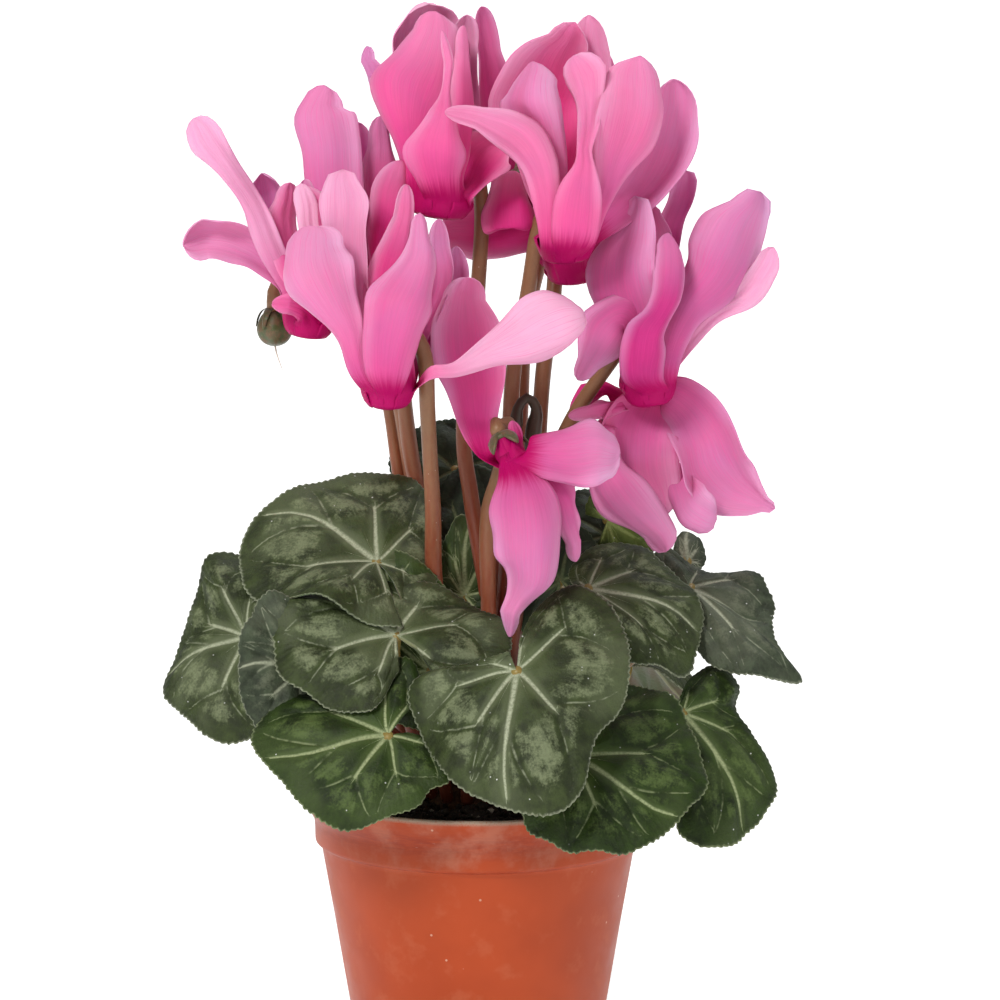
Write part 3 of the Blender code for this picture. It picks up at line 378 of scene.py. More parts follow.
CAPSULE_CENTRE = (-60, 24, 224)
CAPSULE_STEM = [(-10.5, 4.5, 110), (-19.5, 20, 150), (-24.5, 25.5, 185), (-28.5, 27, 208), (-38, 27, 226),
                (-50, 26, 236), (-57, 25, 239), (-60, 24, 235)]
BUD_STEM = [(8.5, -8, 110), (12, -9, 150), (15, -9, 180), (16, -9, 197), (16.9, -9, 203.5), (14.4, -9.5, 207),
            (11.7, -10, 204.3), (10.8, -10.5, 199), (8.5, -11, 194)]
BUD_STEM_RADII = [1.9, 1.9, 1.8, 2.0, 2.4, 1.5, 1.4, 1.5, 2.2, 1.4]

LEAF_TONES = {
    # blade, silver, vein and share of the silver
    "deep": ((0.033, 0.048, 0.012), (0.205, 0.240, 0.130), (0.48, 0.52, 0.36), 0.78),
    "fresh": ((0.016, 0.034, 0.002), (0.110, 0.160, 0.045), (0.40, 0.46, 0.24), 0.62),
    # Painted sheen, with some dust: greyed colours stand for light grazing the fine fuzz on folded blades.
    "grey": ((0.046, 0.062, 0.034), (0.145, 0.160, 0.104), (0.42, 0.45, 0.32), 0.65),
    # Painted shade: a darkened copy of the leaf colours for the leaves deep inside and at the back of the
    # plant.
    "shade": ((0.012, 0.024, 0.007), (0.045, 0.065, 0.030), (0.14, 0.18, 0.08), 0.50),
    "young": ((0.055, 0.080, 0.013), (0.150, 0.210, 0.040), (0.26, 0.32, 0.10), 0.50),
}


def unit(vector):
    return vector / np.linalg.norm(vector)


def even_turns(count):
    """Even turns round a whole circle, in radians."""
    return np.linspace(0, 2 * math.pi, count, endpoint=False)


def turned(profile, steps):
    """Rings of a profile of (radius, height) turned about the pot's axis."""
    turns = even_turns(steps)
    ring = np.stack((np.cos(turns), np.sin(turns), np.zeros(steps)), -1)
    return np.array([radius * ring + UP * height for radius, height in profile])


def ball(rows, columns, turn=0.0):
    """Rings of a ball of radius 1 from the bottom up, without its poles."""
    height = np.linspace(-1, 1, rows + 2)[1:-1, None]
    spin = even_turns(columns) + turn
    reach = np.sqrt(1 - height**2)
    return np.stack((reach * np.cos(spin), reach * np.sin(spin), height * np.ones(columns)), -1)


def spline(points, places):
    """Places on a Catmull-Rom curve through the points, one unit of place for each span."""
    points = np.asarray(points, float)
    padded = np.vstack((2 * points[0] - points[1], points, 2 * points[-1] - points[-2]))
    index = np.minimum(np.asarray(places, float).astype(int), len(points) - 2)
    t = (places - index)[:, None]
    a, b, c, d = (padded[index + k] for k in range(4))
    second = 2 * a - 5 * b + 4 * c - d
    third = 3 * b - a - 3 * c + d
    return 0.5 * (2 * b + (c - a) * t + second * t**2 + third * t**3)


def even_places(points, count):
    """Places that cut the curve through the points into even lengths, and its whole length."""
    fine = np.linspace(0, len(points) - 1, 40 * len(points))
    curve = spline(points, fine)
    along = np.concatenate(([0.0], np.cumsum(np.linalg.norm(np.diff(curve, axis=0), axis=1))))
    return np.interp(np.linspace(0, along[-1], count), along, fine), along[-1]


def even_path(points, count):
    """Points at even lengths along the curve through the points."""
    places, _ = even_places(points, count)
    return spline(points, places)


def ripple(values, seed, waves=5, low=0.6, high=2.6):
    """A smooth random wave over an array of positions (..., k), about -1 to 1, the same each run."""
    random = np.random.default_rng(seed)
    total = np.zeros(values.shape[:-1])
    for _ in range(waves):
        heading = random.normal(size=values.shape[-1])
        heading *= random.uniform(low, high) / np.linalg.norm(heading)
        total += np.sin(values @ heading + random.uniform(0, 2 * math.pi))
    return total / math.sqrt(waves)


def ripple_along(values, seed):
    """A smooth random wave over a row of numbers."""
    return ripple(np.stack((values, np.zeros(len(values))), -1), seed)


def ease(values, low, high):
    """0 at low, 1 at high, smooth between and level beyond; low may be the larger."""
    t = np.clip((np.asarray(values, float) - low) / (high - low), 0, 1)
    return t * t * (3 - 2 * t)


def placed(name, data):
    """A new object in the scene that holds this mesh, camera or light."""
    thing = bpy.data.objects.new(name, data)
    bpy.context.scene.collection.objects.link(thing)
    return thing


class Sheaf:
    """Grids of points gathered into one mesh, with their UVs and their numbers at each point."""

    def __init__(self):
        self.points = []
        self.faces = []
        self.uvs = []
        self.numbers = {}
        self.count = 0

    def add(self, grid, across=None, along=None, wrap=False, hub=None, end=None, **numbers):
        """Add a grid of rows and columns; a hub or an end point closes its first or last row."""
        grid = np.asarray(grid, float)
        rows, columns = grid.shape[:2]
        across = np.linspace(0, 1, columns) if across is None else across
        along = np.linspace(0, 1, rows) if along is None else along
        spans = columns if wrap else columns - 1
        i, j = np.meshgrid(np.arange(rows - 1), np.arange(spans), indexing="ij")
        a = i * columns + j
        b = i * columns + (j + 1) % columns
        quads = np.stack((a, b, b + columns, a + columns), axis=-1).reshape(-1, 4) + self.count
        self.faces.extend(tuple(face) for face in quads.tolist())
        self.points.append(grid.reshape(-1, 3))
        self.uvs.append(np.stack(np.meshgrid(across, along), axis=-1).reshape(-1, 2))
        size = rows * columns
        for tip, row in ((hub, 0), (end, rows - 1)):
            if tip is None:
                continue
            self.points.append(np.asarray(tip, float)[None])
            self.uvs.append(np.array([[0.5, along[row]]]))
            centre = self.count + size
            size += 1
            for k in range(spans):
                first = self.count + row * columns + k
                second = self.count + row * columns + (k + 1) % columns
                self.faces.append((second, first, centre) if row == 0 else (first, second, centre))
        self.add_numbers(numbers, rows, columns, size, hub is not None)
        self.count += size

    def add_numbers(self, numbers, rows, columns, size, has_hub):
        """Numbers for the newest grid; its hub and its end take those of its first and last point."""
        cells = rows * columns
        for name in sorted(set(self.numbers) | set(numbers)):
            value = np.asarray(numbers.get(name, 0.0), float)
            flat = np.broadcast_to(value, (rows, columns)).reshape(-1)
            tips = [flat[0 if has_hub and k == 0 else -1] for k in range(size - cells)]
            earlier = [np.zeros(self.count)] if self.count else []
            self.numbers.setdefault(name, earlier).append(np.concatenate((flat, tips)))

    def make(self, name, materials, thickness=0.0, under=0):
        """The mesh as an object that rides on the plant; under is the slot shift of its lower side."""
        mesh = bpy.data.meshes.new(name)
        points = np.vstack(self.points) * MM
        mesh.from_pydata(points.tolist(), [], self.faces)
        uv = mesh.uv_layers.new(name="UVMap")
        corners = np.zeros(len(mesh.loops), np.int32)
        mesh.loops.foreach_get("vertex_index", corners)
        uv.data.foreach_set("uv", np.vstack(self.uvs)[corners].astype(np.float32).reshape(-1))
        for key, parts in self.numbers.items():
            layer = mesh.attributes.new(key, "FLOAT", "POINT")
            layer.data.foreach_set("value", np.concatenate(parts).astype(np.float32))
        for made in materials:
            mesh.materials.append(made)
        mesh.shade_smooth()
        mesh.update()
        piece = placed(name, mesh)
        if thickness:
            shell = piece.modifiers.new("Thickness", "SOLIDIFY")
            shell.thickness = thickness * MM
            shell.offset = 0.0
            shell.material_offset = under
        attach(piece, "root")
        return piece


def tube_piece(name, material, rings, hub=None, end=None, **numbers):
    """A piece that is one tube of rings, closed by a point at its hub or end where one is given."""
    tube = Sheaf()
    tube.add(rings, wrap=True, hub=hub, end=end, **numbers)
    return tube.make(name, [material])


class Graph:
    """A material whose nodes are built by calls that take numbers, colours or other nodes' outputs."""

    def __init__(self, name, **sockets):
        self.material = bpy.data.materials.new(name)
        self.material.use_nodes = True
        self.tree = self.material.node_tree
        self.shader = self.tree.nodes["Principled BSDF"]
        for key, value in sockets.items():
            self.feed(self.shader.inputs[key.replace("_", " ")], value)

    def feed(self, socket, value):
        if isinstance(value, bpy.types.NodeSocket):
            self.tree.links.new(value, socket)
        elif isinstance(value, (tuple, list)) and socket.type == "RGBA":
            socket.default_value = (*value, 1.0)[:4]
        else:
            socket.default_value = value

    def node(self, kind, output=0, values=(), **settings):
        made = self.tree.nodes.new(kind)
        for key, value in settings.items():
            setattr(made, key, value)
        for key, value in dict(values).items():
            self.feed(made.inputs[key], value)
        return made.outputs[output]

    def math(self, operation, *values, clamp=False):
        return self.node("ShaderNodeMath", values=enumerate(values), operation=operation, use_clamp=clamp)

    def times(self, first, second, clamp=False):
        return self.math("MULTIPLY", first, second, clamp=clamp)

    def plus(self, first, second, clamp=False):
        return self.math("ADD", first, second, clamp=clamp)

    def sway(self, noise, width):
        """A noise of 0 to 1 moved to a middle of 0 and scaled to a width."""
        return self.times(self.math("SUBTRACT", noise, 0.5), width)

    def between(self, value, low, high, start=0.0, stop=1.0):
        """A smooth step from start at low to stop at high."""
        values = {"Value": value, "From Min": low, "From Max": high, "To Min": start, "To Max": stop}
        return self.node("ShaderNodeMapRange", values=values, interpolation_type="SMOOTHSTEP")

    def mix(self, share, first, second, blend="MIX"):
        made = self.tree.nodes.new("ShaderNodeMix")
        made.data_type = "RGBA"
        made.blend_type = blend
        for key, value in ((0, share), (6, first), (7, second)):
            self.feed(made.inputs[key], value)
        return made.outputs[2]

    def shaded(self, colour, value):
        """The colour multiplied by one number."""
        grey = self.node("ShaderNodeCombineXYZ", values={0: value, 1: value, 2: value})
        return self.mix(1.0, colour, grey, "MULTIPLY")

    def number(self, name):
        return self.node("ShaderNodeAttribute", output="Fac", attribute_name=name)

    def place(self, scale=1 / MM):
        """Object coordinates, in millimetres if no other scale is given."""
        values = {0: self.node("ShaderNodeTexCoord", output="Object"), "Scale": scale}
        return self.node("ShaderNodeVectorMath", values=values, operation="SCALE")

    def uv(self, across, along, shift=0.0):
        """The UV stretched by two scales, to draw streaks with, and its two plain parts."""
        parts = self.tree.nodes.new("ShaderNodeSeparateXYZ")
        self.feed(parts.inputs[0], self.node("ShaderNodeUVMap", uv_map="UVMap"))
        u, v = parts.outputs[:2]
        values = {0: self.times(u, across), 1: self.times(v, along), 2: shift}
        return self.node("ShaderNodeCombineXYZ", values=values), u, v

    def noise(self, vector, scale=1.0, detail=2.0, rough=0.5):
        values = {"Vector": vector, "Scale": scale, "Detail": detail, "Roughness": rough}
        return self.node("ShaderNodeTexNoise", output="Fac", values=values)

    def spots(self, vector, scale, size, share):
        """1 on small round specks in a share of the cells of a random pattern, 0 elsewhere."""
        made = self.tree.nodes.new("ShaderNodeTexVoronoi")
        self.feed(made.inputs["Vector"], vector)
        made.inputs["Scale"].default_value = scale
        cell = self.node("ShaderNodeSeparateColor", values={0: made.outputs["Color"]})
        picked = self.math("LESS_THAN", cell, share)
        return self.times(self.between(made.outputs["Distance"], size, 0.5 * size), picked)

    def vein(self, name, low, high):
        """1 along the veins of one family: its signed gap crosses zero there, and its plain gap is small."""
        line = self.between(self.math("ABSOLUTE", self.number(f"{name}_side")), high, low)
        return self.times(line, self.between(self.number(name), 4.5, 2.5))

    def bump(self, height, strength, distance):
        values = {"Height": height, "Strength": strength, "Distance": distance * MM}
        self.tree.links.new(self.node("ShaderNodeBump", values=values), self.shader.inputs["Normal"])

    def finish(self, colour, roughness=None):
        self.feed(self.shader.inputs["Base Color"], colour)
        if roughness is not None:
            self.feed(self.shader.inputs["Roughness"], roughness)
        return self.material


def toned(colour, factor):
    return tuple(factor * value for value in colour)


def petal_material():
    """Pink, deep at the foot, pale or lilac out to the edges and the tip, with fine veins; a petal's set
    depth also paints light on pale petals and shade on deep ones, and the inside of the tube is darkened as
    painted shade.
    """
    g = Graph("petal", Subsurface_Weight=0.12, Subsurface_Radius=(0.9, 0.25, 0.5), Subsurface_Scale=0.002,
              Specular_IOR_Level=0.12)
    streaks, across, along = g.uv(26.0, 2.0)
    streak = g.noise(streaks, 1.0, 3.0, 0.6)
    vein = g.noise(g.uv(75.0, 4.0, 4.0)[0])
    cloud = g.noise(g.place(), 0.07, 3.0)
    depth = g.number("deep")
    lip = g.number("lip_mm")
    off_middle = g.math("ABSOLUTE", g.math("SUBTRACT", g.times(across, 2.0), 1.0))
    lilac = g.plus(g.number("lilac"), g.sway(cloud, 1.1), clamp=True)
    colour = g.mix(lilac, (0.76, 0.130, 0.33), (0.54, 0.130, 0.35))
    edge = g.times(g.between(off_middle, 0.40, 1.0), 0.45)
    tip = g.times(g.between(along, 0.45, 1.0), 0.45)
    pale = g.times(g.plus(edge, tip, clamp=True), g.plus(0.45, cloud))
    colour = g.mix(pale, colour, g.mix(lilac, (0.86, 0.36, 0.56), (0.70, 0.35, 0.58)))
    # Painted light: a petal set pale turns towards pale pink out along it, which stands for light on petals
    # that face up.
    light = g.times(g.times(depth, -0.85, clamp=True), g.between(along, 0.12, 0.5))
    colour = g.mix(light, colour, (0.93, 0.50, 0.70))
    # The deep pink is the petal's own colour, deepened further as painted shade on petals set deep.
    deep = g.times(g.math("MAXIMUM", depth, 0.0), g.between(off_middle, 1.0, 0.25))
    deep = g.times(deep, g.between(along, 0.95, 0.6, 0.3, 1.0))
    flush = g.times(g.between(lip, 34.0, 6.0), 0.60)
    hot = g.mix(lilac, (0.80, 0.036, 0.25), (0.46, 0.030, 0.19))
    colour = g.mix(g.plus(deep, flush, clamp=True), colour, hot)
    colour = g.shaded(colour, g.plus(0.80, g.times(g.plus(streak, vein), 0.20)))
    colour = g.mix(g.times(g.between(vein, 0.54, 0.68), 0.34), colour, (0.72, 0.05, 0.28))
    nose = g.between(g.plus(lip, g.sway(streak, 10.0)), 15.0, 6.5)
    # The nose's own crimson, turning near black inside the tube as painted shade in the throat.
    dark = g.mix(g.between(lip, 1.0, -4.0), (0.46, 0.002, 0.115), (0.20, 0.002, 0.035))
    colour = g.mix(nose, colour, dark)
    g.bump(g.plus(g.times(streak, 0.7), g.times(vein, 0.4)), 0.6, 0.3)
    return g.finish(colour, g.between(streak, 0.2, 0.8, 0.45, 0.62))


def leaf_material(tone):
    """A dark blade marbled with silver in a broken ring, with pale veins, a pale rim and a little dust."""
    blade, silver, vein, share = LEAF_TONES[tone]
    g = Graph(f"leaf_{tone}", Sheen_Weight=0.02, Sheen_Roughness=0.5, Specular_IOR_Level=0.25)
    at = g.place()
    blotch = g.noise(at, 0.22, 5.0, 0.62)
    grain = g.noise(at, 1.5, 4.0, 0.65)
    broad = g.noise(at, 0.05)
    rays, _, reach = g.uv(60.0, 4.0)
    ray = g.noise(rays, 1.0, 4.0, 0.65)
    colour = g.mix(g.between(blotch, 0.3, 0.7), toned(blade, 0.52), toned(blade, 1.35))
    halfway = tuple(0.5 * (a + b) for a, b in zip(blade, silver))
    colour = g.mix(g.between(broad, 0.45, 0.65, 0.0, 0.5), colour, halfway)
    colour = g.mix(g.between(reach, 0.42, 0.05, 0.0, 0.7), colour, toned(blade, 1.7))
    fine = g.times(g.math("SUBTRACT", g.plus(ray, grain), 1.0), 1.1)
    patch = g.plus(g.times(g.number("silver"), 0.62), g.plus(g.sway(blotch, 2.2), fine))
    marked = g.times(g.between(patch, 0.15, 1.0), g.between(g.number("silver"), 0.0, 0.6))
    colour = g.mix(g.times(marked, share), colour, silver)
    halo = g.between(g.plus(g.number("main"), g.sway(grain, 1.1)), 3.6, 0.8, 0.0, 0.38)
    colour = g.mix(halo, colour, silver)
    faint = g.times(g.vein("branch", 0.1, 1.3), g.between(blotch, 0.42, 0.62, 0.0, 0.45))
    strong = g.times(g.vein("main", 0.2, 1.2), g.between(grain, 0.25, 0.6, 0.40, 0.85))
    edge = g.times(g.between(g.number("rim"), 0.5, 1.0), g.between(grain, 0.3, 0.6, 0.10, 0.6))
    for line in (faint, strong, edge):
        colour = g.mix(line, colour, vein)
    dust = g.times(g.spots(at, 0.55, 0.16, 0.10), g.between(broad, 0.42, 0.58))
    colour = g.mix(dust, colour, (0.75, 0.76, 0.72))
    colour = g.shaded(colour, g.plus(0.72, g.times(grain, 0.5)))
    g.bump(g.plus(grain, g.times(blotch, 2.5)), 0.55, 0.4)
    return g.finish(colour, g.between(grain, 0.2, 0.8, 0.40, 0.62))


def underside_material():
    """The dull back of a leaf, green with brownish clouds."""
    g = Graph("leaf_underside", Sheen_Weight=0.3, Sheen_Roughness=0.5)
    grain = g.noise(g.place(), 1.2, 3.0)
    blotch = g.noise(g.place(), 0.1, 3.0)
    colour = g.mix(g.between(blotch, 0.35, 0.7), (0.060, 0.100, 0.030), (0.105, 0.075, 0.035))
    colour = g.mix(g.vein("main", 0.5, 1.3), colour, (0.20, 0.22, 0.10))
    g.bump(grain, 0.4, 0.3)
    return g.finish(colour, g.between(grain, 0.2, 0.8, 0.5, 0.7))


def stem_material(name, low, high):
    """A smooth stem that turns from one colour at its foot to another at its top."""
    g = Graph(name, Specular_IOR_Level=0.45, Subsurface_Weight=0.12, Subsurface_Radius=(0.8, 0.3, 0.15),
              Subsurface_Scale=0.002, Sheen_Weight=0.03)
    strands, _, along = g.uv(9.0, 26.0)
    strand = g.noise(strands, 1.0, 3.0)
    fleck = g.noise(g.place(), 1.8, 3.0, 0.7)
    turn = g.plus(along, g.sway(strand, 0.35), clamp=True)
    colour = g.mix(g.between(turn, 0.25, 0.85), low, high)
    both = g.plus(strand, fleck)
    colour = g.shaded(colour, g.plus(0.72, g.times(both, 0.28)))
    dust = g.spots(g.place(), 0.5, 0.12, 0.15)
    colour = g.mix(g.times(dust, 0.5), colour, (0.62, 0.5, 0.4))
    g.bump(both, 0.35, 0.2)
    return g.finish(colour, g.between(fleck, 0.2, 0.8, 0.34, 0.5))


def pot_material():
    """Moulded terracotta-coloured plastic with dust on its rim, a limy bloom, scratches and a few specks, and
    painted shade under the lip and at the step below the band.
    """
    g = Graph("pot_plastic", Specular_IOR_Level=0.25)
    at = g.place()
    cloud = g.noise(at, 0.03, 3.0, 0.6)
    smear = g.noise(at, 0.10, 4.0, 0.6)
    grain = g.noise(at, 2.2)
    rub = g.node("ShaderNodeVectorMath", values={0: at, 1: (1.0, 1.0, 7.0)}, operation="MULTIPLY")
    scratch = g.noise(rub, 0.22, 4.0, 0.7)
    bloom = g.number("bloom")
    colour = g.mix(g.between(cloud, 0.3, 0.7), (0.375, 0.048, 0.0075), (0.44, 0.060, 0.0105))
    colour = g.mix(g.between(smear, 0.52, 0.72, 0.0, 0.22), colour, (0.56, 0.17, 0.085))
    # Painted shade: darker under the lip and in a thin line at the step below the band, broken up by the
    # scratch noise.
    painted_shade = g.times(g.number("shade"), g.between(scratch, 0.35, 0.60, 0.45, 1.0))
    colour = g.mix(painted_shade, colour, (0.24, 0.024, 0.006))
    limy = g.times(bloom, g.between(smear, 0.40, 0.66))
    colour = g.mix(g.times(limy, 0.26), colour, (0.52, 0.27, 0.19))
    scored = g.times(g.between(scratch, 0.70, 0.76), g.plus(0.12, bloom))
    colour = g.mix(g.times(scored, 0.5), colour, (0.66, 0.42, 0.32))
    dirt = g.times(g.number("dust"), g.between(grain, 0.25, 0.55, 0.35, 1.0))
    colour = g.mix(dirt, colour, (0.44, 0.36, 0.27))
    speck = g.spots(at, 0.22, 0.10, 0.22)
    colour = g.mix(g.times(speck, 0.6), colour, (0.70, 0.45, 0.33))
    g.bump(g.plus(g.times(grain, 0.3), smear), 0.10, 0.2)
    return g.finish(colour, g.plus(g.between(smear, 0.3, 0.75, 0.36, 0.50), g.times(dirt, 0.4)))


def soil_material(name, low, high, speck_share):
    """Crumbly matter between two colours, with pale flecks."""
    g = Graph(name, Specular_IOR_Level=0.25)
    at = g.place()
    crumb = g.noise(at, 0.7, 5.0, 0.7)
    colour = g.mix(g.between(crumb, 0.35, 0.7), low, high)
    fleck = g.spots(at, 0.55, 0.2, 0.12)
    colour = g.mix(g.times(fleck, speck_share), colour, (0.25, 0.21, 0.17))
    g.bump(crumb, 0.9, 0.8)
    return g.finish(colour, g.between(crumb, 0.3, 0.7, 0.75, 0.98))


def corm_material():
    """Brown cork."""
    g = Graph("corm_skin", Specular_IOR_Level=0.2)
    cork = g.noise(g.place(), 0.35, 5.0, 0.7)
    colour = g.mix(g.between(cork, 0.3, 0.7), (0.035, 0.018, 0.010), (0.13, 0.07, 0.04))
    g.bump(cork, 0.9, 1.0)
    return g.finish(colour, g.between(cork, 0.3, 0.7, 0.7, 0.95))


def sepal_material():
    """Green and brown patches with pale freckles, for the calyxes and the seed capsule."""
    g = Graph("sepal", Sheen_Weight=0.2)
    at = g.place()
    patch = g.noise(at, 0.5, 4.0, 0.6)
    colour = g.mix(g.between(patch, 0.35, 0.65), (0.055, 0.075, 0.018), (0.13, 0.075, 0.030))
    colour = g.mix(g.between(g.noise(at, 1.6), 0.6, 0.8, 0.0, 0.5), colour, (0.26, 0.28, 0.09))
    g.bump(patch, 0.5, 0.4)
    return g.finish(colour, g.between(patch, 0.3, 0.7, 0.35, 0.55))


def style_material():
    """The pale thread under the capsule."""
    g = Graph("style")
    cloud = g.noise(g.place(), 0.5, 3.0)
    pale = (0.72, 0.62, 0.52)
    return g.finish(g.mix(g.between(cloud, 0.3, 0.7), pale, toned(pale, 0.8)), 0.5)


def corm_foot(x, y):
    """Where a stem over x and y starts, a little inside the corm's skin."""
    share = min(math.hypot(x, y) / CORM_RADIUS, 0.98)
    height = CORM_TOP - CORM_HALF + CORM_HALF * math.sqrt(1 - share * share) - STEM_SINK
    return np.array((x, y, height))


def make_stem(name, material, points, radii, sides=14, rows=64, seed=1):
    """A stem of changing radius along a smooth path, slightly uneven."""
    places, _ = even_places(points, rows)
    line = spline(points, places)
    radius = np.interp(places, np.linspace(0, len(points) - 1, len(radii)), radii)
    tangents = np.gradient(line, axis=0)
    side = np.cross(tangents[0], (0.0, 1.0, 0.1))
    turns = even_turns(sides)
    rings = []
    for k in range(rows):
        tangent = unit(tangents[k])
        side = unit(side - tangent * (side @ tangent))
        other = np.cross(tangent, side)
        spots = np.stack((np.cos(turns), np.sin(turns), np.full(sides, 0.25 * k)), -1)
        uneven = 1 + STEM_UNEVEN * ripple(spots, seed)
        circle = np.cos(turns)[:, None] * side + np.sin(turns)[:, None] * other
        rings.append(line[k] + radius[k] * uneven[:, None] * circle)
    return tube_piece(name, material, rings, hub=line[0], end=line[-1])


def leaf_edge(hub, rim):
    """Points on a blade's edge, three to a tooth, the number of teeth, and its upper side's direction."""
    _, length = even_places(rim, 2)
    teeth = int(round(length / TOOTH_PITCH))
    edge = even_path(rim, teeth * len(TOOTH_SHAPE) + 1)
    arms = edge - hub
    area = np.cross(arms[:-1], arms[1:]).sum(axis=0)
    if area @ (UP + 0.7 * FRONT) < 0:
        area = -area
    return edge, teeth, unit(area)


def vein_paths(midrib):
    """Main and branch veins of a blade as (turn, reach, width) points; a turn is a share of the edge."""
    mains, branches = [], []
    for fan in (-0.90, -0.66, -0.33, 0.0, 0.33, 0.66, 0.90):
        turn = midrib + fan * (midrib if fan < 0 else 1 - midrib)
        spread = 0.34 * (midrib if fan <= 0 else 1 - midrib)
        width = 1.0 if fan == 0 else 0.8 if abs(fan) < 0.5 else 0.6
        sway = 0.05 * math.sin(9 * turn)
        reaches = np.linspace(0.0, 0.93 if fan == 0 else 0.52, 7)
        mains.append([(turn + sway * s * (1 - s) * 3, s, width * (1.25 - 0.85 * s)) for s in reaches])
        for side in (-1, 1):
            start = (0.50 if fan else 0.42) + 0.07 * side * math.sin(17 * turn)
            branch = []
            for t in np.linspace(0, 1, 6):
                s = start + (0.90 - start) * t
                off = side * spread * 0.40 * t**0.8
                branch.append((turn + sway * s * (1 - s) * 3 + off, s, width * (0.62 - 0.36 * t)))
            branches.append(branch)
    return mains, branches


def distance_to_veins(points, locate, paths, normal):
    """For each point the gap to the nearest vein: in widths of the vein, the same signed, in millimetres."""
    nearest = signed = gaps = np.full(len(points), FAR)
    for path in paths:
        places = np.array([locate(turn, reach) for turn, reach, _ in path])
        widths = np.array([width for _, _, width in path])
        for i in range(len(places) - 1):
            run = places[i + 1] - places[i]
            t = np.clip(((points - places[i]) @ run) / max(run @ run, 1e-9), 0, 1)
            away = points - places[i] - t[:, None] * run
            gap = np.linalg.norm(away, axis=1)
            share = gap / (widths[i] + (widths[i + 1] - widths[i]) * t)
            closer = share < nearest
            side = np.sign(np.cross(run, away) @ normal)
            nearest = np.where(closer, share, nearest)
            signed = np.where(closer, share * side, signed)
            gaps = np.minimum(gaps, gap)
    return nearest, signed, gaps


def toothed_arms(hub, edge, teeth, scale, seed):
    """The way from the hub to each point of the edge, once it has its uneven teeth."""
    random = np.random.default_rng(seed)
    count = len(edge)
    heights = np.tile(TOOTH_SHAPE, teeth + 1)[:count] * random.uniform(0.35, 1.45, count)
    uneven = ripple_along(np.linspace(0, 40, count), seed + 2) * 0.45 * scale
    outward = np.array([unit(arm) for arm in edge - hub])
    return edge + outward * (heights * TOOTH_HEIGHT * scale + uneven - 0.3)[:, None] - hub


def blade_relief(grid, reach, near, widths, scale, seed):
    """How far a blade stands off its arched sheet: panels between sunken veins, rolls and a frilled edge."""
    panels = ease(near, 0.0, 5.0) * (ease(reach, 0.0, 0.2) * ease(reach, 1.0, 0.8))[:, None]
    veined = 0.9 * scale * (panels - 0.4 * ease(widths, 1.6, 0.4))
    rolls = ripple(grid * 0.14, seed) * 0.9 * scale * reach[:, None]
    wave = ripple_along(np.linspace(0, 26, grid.shape[1]), seed + 1)
    return veined + rolls + wave * 1.3 * scale * ease(reach, 0.65, 1.0)[:, None]


def make_blade(name, hub, midrib, tone, rim, materials):
    """A leaf blade that rides on the plant; gives the direction of its upper side."""
    edge, teeth, normal = leaf_edge(hub, rim)
    seed = sum(ord(letter) for letter in name)
    scale = min(1.0, np.linalg.norm(edge - hub, axis=1).mean() / FULL_LEAF)
    arms = toothed_arms(hub, edge, teeth, scale, seed)
    shares = np.linspace(0, 1, len(edge))

    def arch(s):
        return 4 * LEAF_ARCH * s * (1 - s)

    def flat(turn, s):
        """A place on the blade before its small relief, by share of the edge and of the reach."""
        arm = np.array([np.interp(turn, shares, arms[:, k]) for k in range(3)])
        return hub + arm * s + arch(s) * np.linalg.norm(arm) * normal

    reach = np.linspace(0.02, 1, LEAF_ROWS) ** 0.9
    high = arch(reach)[:, None] * np.linalg.norm(arms, axis=1)[None]
    grid = hub + arms[None] * reach[:, None, None] + high[..., None] * normal
    measures = []
    for paths in vein_paths(midrib):
        for values in distance_to_veins(grid.reshape(-1, 3), flat, paths, normal):
            measures.append(values.reshape(grid.shape[:2]))
    main, main_side, near_main, branch, branch_side, near_branch = measures
    near = np.minimum(near_main, near_branch)
    relief = blade_relief(grid, reach, near, np.minimum(main, branch), scale, seed)
    grid = grid + relief[..., None] * normal
    ring = ease(reach, 0.34, 0.55) * ease(reach, 0.93, 0.74)
    blade = Sheaf()
    blade.add(grid, along=reach, across=shares * teeth / 60, hub=grid[0].mean(axis=0),
              silver=ring[:, None] * ease(near, 0.4, 2.6), rim=ease(reach, 0.955, 1.0)[:, None],
              main=main, main_side=main_side, branch=branch, branch_side=branch_side)
    half = len(edge) // 2
    facing = np.cross(grid[-1, half + 4] - grid[-1, half], grid[-1, half] - grid[0, half])
    sides = [materials[tone], materials["under"]]
    if facing @ normal < 0:
        sides.reverse()
    piece = blade.make(f"blade_{name}", sides, LEAF_THICKNESS, 1)
    if name not in ADDED_LEAVES:
        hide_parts(f"leaf_{name}")
    return normal


def make_stalk(name, start, hub, normal, material):
    """A leaf stalk from its start on the corm, out and up to the underside of the blade."""
    x, y = start
    foot = corm_foot(x, y)
    below = hub - normal * 12.0
    rise = foot + np.array((0.35 * x, 0.35 * y, 14.0))
    middle = (rise + below) / 2 + np.array((0.0, 0.0, 2.0))
    radii = [STALK_RADIUS * share for share in (1.0, 1.0, 0.9, 0.75, 0.8)]
    route = [foot, rise, middle, below, hub + normal * 0.1]
    piece = make_stem(f"stalk_{name}", material, route, radii, sides=12, rows=40, seed=len(name) + 3)
    if name not in ADDED_LEAVES:
        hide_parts(f"leaf_stalk_{name}")


def back_leaf_rim(hub, heading, length, rise, fall):
    """A heart-shaped edge round a stalk point, falling towards its edge."""
    turn = math.radians(heading)
    ahead = unit(np.array((math.cos(turn), math.sin(turn), rise)))
    side = unit(np.cross(ahead, UP))
    down = -unit(np.cross(side, ahead))
    points = []
    for angle in np.radians(np.linspace(-160, 160, 13)):
        reach = length * (0.80 + 0.20 * math.cos(angle))
        points.append(hub + reach * (math.cos(angle) * ahead + math.sin(angle) * side) + fall * down)
    return points


